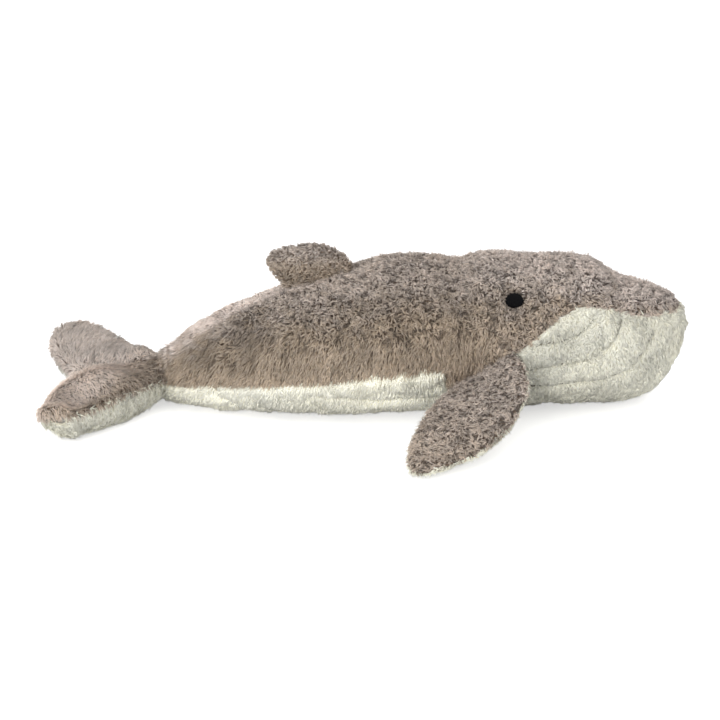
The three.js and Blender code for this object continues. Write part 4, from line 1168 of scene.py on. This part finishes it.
def dress_limb(kind, side, mirror, seed):
    """The outer face of one cloth of a limb, and the ways out of it."""
    limb, outwards = LIMBS[kind], side * mirror
    grid = limb_grid(limb, side, LIMB_PILE, *limb["size"]) * (MIRRORED if mirror < 0 else 1)
    normals = grid_normals(grid, outwards)
    relief = 0.35 * noise(grid, 14.0, seed)
    inside = smoothstep(0, 7, limb["size"][1] - 1 - np.arange(grid.shape[1]))
    if kind == "fluke":
        relief = fluke_folds(grid, side, relief, inside)
    grid = grid + normals * relief[..., None]
    if kind == "fluke" and side < 0:
        grid[..., 2] = np.maximum(grid[..., 2] - fluke_hang(grid, inside), 0.9)
        normals = grid_normals(grid, outwards)
    grid = grid + swell(grid, normals, limb["held"], LIMB_NET, slack=0.02, cap=1.0)
    grid[..., 2] = np.maximum(grid[..., 2], LIMB_SKIN_LOWEST)
    return grid, grid_normals(grid, outwards)


def make_limb(kind, prefix, mirror, body, pieces, blend, seed):
    """The two cloths of a limb with their pile."""
    for side, (word, node, grey) in zip((1, -1), pieces):
        panel(f"{prefix}_{word}", node, body, *dress_limb(kind, side, mirror, seed), grey,
              limb_style(kind, grey, mirror), seed + (1 if side > 0 else 2), LIMB_CLOTH_THICKNESS, 0.6, blend)


def bend(body, pivot, way, before, after, mirror=1):
    """A soft hinge: its two bodies, and the two ends of the span across it."""
    flip = np.array([1, mirror, 1.0])
    start, end = (tuple(((pivot + at * way) * flip + SHIFT) * MM) for at in (-before, after))
    return ("torso", body), start, end


fin_axis = unit(FIN_FRONT_POINT - FIN_REAR_POINT)
fin_pivot = (FIN_FRONT_POINT + FIN_REAR_POINT) / 2
fin_out = lerp_edges(fin_edges(np.array([1.0])), np.array([0.0]))[0] - fin_pivot
fin_out = unit(fin_out - (fin_out @ fin_axis) * fin_axis)
root_rear, root_front = (edge[0] for edge in back_fin_edges(np.array([0.0])))
back_fin_axis = unit(root_front - root_rear)
back_fin_up = unit(UP - back_fin_axis[2] * back_fin_axis)
fluke_pivot = np.array([WAIST_X + 2, 0, FLUKE_NECK_HEIGHT])
BENDS = {
    "right": bend("pectoral_fin_right", fin_pivot, fin_out, 3, 11),
    "left": bend("pectoral_fin_left", fin_pivot, fin_out, 3, 11, -1),
    "back": bend("dorsal_fin", (root_rear + root_front) / 2, back_fin_up, 3, 7),
    "fluke": bend("tail_fluke", fluke_pivot, np.array([-1.0, 0, 0]), 5, 13),
}

for word, mirror in (("right", 1), ("left", -1)):
    make_limb("fin", f"fin_{word}", mirror, f"pectoral_fin_{word}",
              (("upper", f"fin_{word}_upper_panel", True), ("lower", f"fin_{word}_lower_panel", False)),
              BENDS[word], 410 + 20 * mirror)
make_limb("back_fin", "back_fin", 1, "dorsal_fin",
          (("left", "back_fin_left_panel", True), ("right", "back_fin_right_panel", True)),
          BENDS["back"], 500)
make_limb("fluke", "fluke", 1, "tail_fluke",
          (("upper", "fluke_upper_panel", True), ("lower", "fluke_lower_panel", False)),
          BENDS["fluke"], 600)


# ---------------------------------------------------------------- filling
FILLING_LUMP = 2.5


def kept_inside(points, skin, room=1.2):
    """Points moved to lie at least that far, in millimetres, below a skin where they are near it."""
    moved = points.copy()
    for i, point in enumerate(points):
        near, normal, _, distance = skin.find_nearest(Vector(point), 0.02)
        if near is None:
            continue
        above = (Vector(point) - near).dot(normal)
        straight = abs(above) > 0.7 * distance or distance < 0.001
        if straight and above > -room * MM:
            moved[i] = np.array(Vector(point) - normal * (above + room * MM))
    return moved


def filling(node, body, blend=None):
    """Loose filling: the node's form, rounded and lumpy."""
    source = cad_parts[node]
    mesh = source.data.copy()
    mesh.transform(source.matrix_world)
    mesh.materials.clear()
    obj = linked(node + "_loose", mesh)
    remesh = obj.modifiers.new("remesh", "REMESH")
    remesh.mode = "VOXEL"
    remesh.voxel_size = FILLING_LUMP * MM
    obj.modifiers.new("smooth", "SMOOTH").iterations = 6
    final = bpy.data.meshes.new_from_object(obj.evaluated_get(bpy.context.evaluated_depsgraph_get()))
    obj.modifiers.clear()
    obj.data = final
    co, no = vectors(final, "co"), vectors(final, "normal")
    co = co + no * ((0.5 * noise(co / MM, 9.0, 71) - 0.6) * MM)[:, None]
    for skin in SKINS[body]:
        co = kept_inside(co, skin)
    final.vertices.foreach_set("co", co.astype(np.float32).ravel())
    final.polygons.foreach_set("use_smooth", np.ones(len(final.polygons), bool))
    final.update()
    final.materials.clear()
    final.materials.append(FILLING)
    carry(obj, body, blend)
    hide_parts(node)


for node in ("tail_stuffing", "body_stuffing", "head_stuffing"):
    filling(node, "torso")
for node, body, place in (("fin_right_stuffing", "pectoral_fin_right", "right"),
                          ("fin_left_stuffing", "pectoral_fin_left", "left"),
                          ("back_fin_stuffing", "dorsal_fin", "back"),
                          ("fluke_stuffing_right", "tail_fluke", "fluke"),
                          ("fluke_stuffing_left", "tail_fluke", "fluke")):
    filling(node, body, BENDS[place])


# ---------------------------------------------------------------- threads
STITCH_LENGTH, STITCH_STEP, STITCH_GIRTH = 3.2, 3.9, 0.42
EYE_STITCH_GIRTH = 0.3
EYE_LAYERS = ((0.0, 0.5, 22), (0.35, -0.12, 26))   # each layer's lift, tilt and number of stitches
EYE_LOOSE_ENDS = 26
THREAD_GUIDE = np.array([0.3, 0.2, 1.0])  # a way that no thread runs, to turn its sides by


def round_faces(start, end, first, rings, sides):
    """Triangles round rings of points, the first ring closed on one point and the last on another."""
    j = np.arange(sides)
    a, b = (first + sides * np.arange(rings)[:, None] + k for k in (j, np.roll(j, -1)))
    corners = ((a[:-1], b[:-1], b[1:]), (a[:-1], b[1:], a[1:]),
               (0 * j + start, b[0], a[0]), (0 * j + end, a[-1], b[-1]))
    return np.concatenate([np.stack(c, -1).reshape(-1, 3) for c in corners])


def tubes(name, lines, radius, material, sides=6):
    """Round threads with pointed ends, one mesh."""
    turn = 2 * np.pi * np.arange(sides) / sides
    points, faces, offset = [], [], 0
    for line, girth in lines:
        tangent = unit(np.gradient(line, axis=0))
        e1 = unit(np.cross(tangent, THREAD_GUIDE))
        e2 = np.cross(tangent, e1)
        count = len(line)
        taper = np.r_[0.5, np.ones(count - 2), 0.5]
        around = np.cos(turn)[:, None] * e1[:, None] + np.sin(turn)[:, None] * e2[:, None]
        ring = line[:, None] + (radius * girth * taper)[:, None, None] * around
        points += [ring.reshape(-1, 3), line[[0, -1]]]
        end = offset + count * sides
        faces.append(round_faces(end, end + 1, offset, count, sides))
        offset = end + 2
    obj = mesh_object(name, np.concatenate(points), np.concatenate(faces))
    obj.data.materials.append(material)
    return obj


def pleat_thread(order, word, mirror):
    """Small arched stitches along a pleat."""
    line, normal = flank_place(curved_line(PLEATS[order - 1], 80))
    line = line + normal * (body_relief(line) - CREAM_PILE_DEPTH * 0.45)[:, None]
    length = lengths_along(line)
    arch = 0.55 * np.sin(np.linspace(0, np.pi, 7)) - 0.3
    stitches, at = [], 0.6
    while at < length[-1] - 3.4:
        p, n = (np.stack([np.interp(np.linspace(at, at + STITCH_LENGTH, 7), length, rows)
                          for rows in way.T], -1) for way in (line, normal))
        stitches.append(((p + n * arch[:, None]) * mirror, 1.0))
        at += STITCH_STEP
    obj = tubes(f"throat_stitches_{word}_{order}", stitches, STITCH_GIRTH, GROOVE_SHADED_THREAD)
    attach(obj, "torso")
    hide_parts(f"throat_pleat_{word}_{order}")


def eye(word, mirror):
    """Satin stitches laid side by side over a padded mound, with loose ends at its rim."""
    rng = np.random.default_rng(77)
    across = unit(np.array([1.0, 0, 0]) - EYE_NORMAL[0] * EYE_NORMAL)
    upward = np.cross(EYE_NORMAL, across)
    half_length, half_height = EYE_LENGTH / 2, EYE_HEIGHT / 2

    def place(u, v, rise):
        return (EYE_POINT - 0.6 * EYE_NORMAL + np.outer(u, across) + np.outer(v, upward)
                + np.outer(rise, EYE_NORMAL)) * mirror

    lines = []
    for lift, tilt, count in EYE_LAYERS:
        for k in range(count):
            s = (k + 0.5) / count * 2 - 1
            reach = half_height * math.sqrt(max(1 - s * s, 0.03)) * (0.95 + 0.16 * rng.random())
            w = np.linspace(-1, 1, 9)
            u = s * half_length + 0.1 * rng.normal() + tilt * w * reach * 0.4
            v = w * reach + 0.25 * rng.normal()
            r = np.clip(np.sqrt((u / half_length) ** 2 + (v / half_height) ** 2), 0, 1.1)
            rise = (EYE_RELIEF + 0.2) * np.sqrt(np.maximum(1.12 - r ** 2, 0.0)) + lift - 0.2
            lines.append((place(u, v, rise), 0.9 + 0.2 * rng.random()))
    for k in range(EYE_LOOSE_ENDS):
        a = 2 * np.pi * k / EYE_LOOSE_ENDS + 0.15 * rng.normal()
        w = np.linspace(0.82, 1.1 + 0.12 * rng.random(), 5)
        rise = np.linspace(1.3, 0.5 + 0.5 * rng.random(), 5)
        lines.append((place(w * half_length * math.cos(a), w * half_height * math.sin(a), rise), 0.6))
    # the mound below the stitches
    rings, sides = 6, 28
    r = np.repeat(np.arange(1, rings + 1) / rings, sides)
    a = np.tile(2 * np.pi * np.arange(sides) / sides, rings)
    dome = place(r * half_length * np.cos(a), r * half_height * np.sin(a),
                 (EYE_RELIEF - 0.1) * np.sqrt(np.maximum(1 - r * r, 0)) - 0.2)
    mound = np.concatenate([place(0, 0, EYE_RELIEF - 0.3), dome, place(0, 0, -1.0)])
    faces = round_faces(0, len(mound) - 1, 1, rings, sides)
    pad = mesh_object(f"eye_{word}_mound", mound, faces if word == "left" else faces[:, ::-1])
    pad.data.materials.append(BLACK_THREAD)
    obj = tubes(f"eye_{word}_stitches", lines, EYE_STITCH_GIRTH, BLACK_THREAD, sides=5)
    for piece in (obj, pad):
        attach(piece, "torso")
    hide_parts(f"eye_{word}")


SIDES = (("right", np.ones(3)), ("left", MIRRORED))
for order in (1, 2, 3):
    for word, mirror in SIDES:
        pleat_thread(order, word, mirror)
for word, mirror in SIDES:
    eye(word, mirror)


# ---------------------------------------------------------------- stage
FLOOR_GLOW, SKY_AS_LIGHT, SKY_AS_SEEN = 0.52, 0.85, 1.0
LENS, SENSOR = 85.65, 36.0
CAMERA_TARGET = Vector((-0.0020, 0.0, 0.024))
ELEVATION, AZIMUTH = math.radians(20), math.radians(-3)


def backdrop():
    """A white floor. What the camera sees of it glows a little, which lights nothing else."""
    mesh = bpy.data.meshes.new("floor")
    mesh.from_pydata([(-6, -6, 0), (6, -6, 0), (6, 6, 0), (-6, 6, 0)], [], [(0, 1, 2, 3)])
    material, tree, shader = nodes_of("floor_white")
    shader.inputs["Base Color"].default_value = (0.96, 0.96, 0.96, 1)
    shader.inputs["Roughness"].default_value = 1.0
    shader.inputs["Specular IOR Level"].default_value = 0.0
    path = tree.nodes.new("ShaderNodeLightPath")
    glow = tree.nodes.new("ShaderNodeEmission")
    glow.inputs["Color"].default_value = (1, 1, 1, 1)
    glow.inputs["Strength"].default_value = FLOOR_GLOW
    add = tree.nodes.new("ShaderNodeAddShader")
    choose = tree.nodes.new("ShaderNodeMixShader")
    for source, target in ((shader.outputs[0], add.inputs[0]), (glow.outputs[0], add.inputs[1]),
                           (path.outputs["Is Camera Ray"], choose.inputs[0]),
                           (shader.outputs[0], choose.inputs[1]), (add.outputs[0], choose.inputs[2]),
                           (choose.outputs[0], tree.nodes["Material Output"].inputs["Surface"])):
        tree.links.new(source, target)
    mesh.materials.append(material)
    floor = linked("floor", mesh)


def studio():
    """White surroundings, a little dimmer as light than as seen."""
    world = bpy.data.worlds.new("studio")
    bpy.context.scene.world = world
    world.use_nodes = True
    tree = world.node_tree
    background = tree.nodes["Background"]
    background.inputs["Color"].default_value = (1, 1, 1, 1)
    path = tree.nodes.new("ShaderNodeLightPath")
    mixer = tree.nodes.new("ShaderNodeMix")
    mixer.data_type = "FLOAT"
    mixer.inputs[2].default_value, mixer.inputs[3].default_value = SKY_AS_LIGHT, SKY_AS_SEEN
    tree.links.new(path.outputs["Is Camera Ray"], mixer.inputs[0])
    tree.links.new(mixer.outputs[0], background.inputs["Strength"])


def aimed(obj, back):
    """Turns a lamp or camera to look from a way back."""
    obj.rotation_euler = (-Vector(back)).to_track_quat("-Z", "Y").to_euler()
    return obj


def sun(name, way, angle, strength):
    """A soft lamp that lights everything evenly from one side."""
    data = bpy.data.lights.new(name, "SUN")
    data.angle = math.radians(angle)
    data.energy = strength
    aimed(linked(name, data), way)


backdrop()
studio()
sun("key", (-0.6, -1.0, 0.28), 32, 1.62)
sun("top", (0.1, 0.35, 1.0), 80, 0.5)

camera_data = bpy.data.cameras.new("camera")
camera_data.lens, camera_data.sensor_width = LENS, SENSOR
back = Vector((math.sin(AZIMUTH) * math.cos(ELEVATION), -math.cos(AZIMUTH) * math.cos(ELEVATION),
               math.sin(ELEVATION)))
camera = aimed(linked("camera", camera_data), back)
camera.location = CAMERA_TARGET + back
bpy.context.scene.camera = camera
bpy.context.scene.view_settings.view_transform = "Standard"
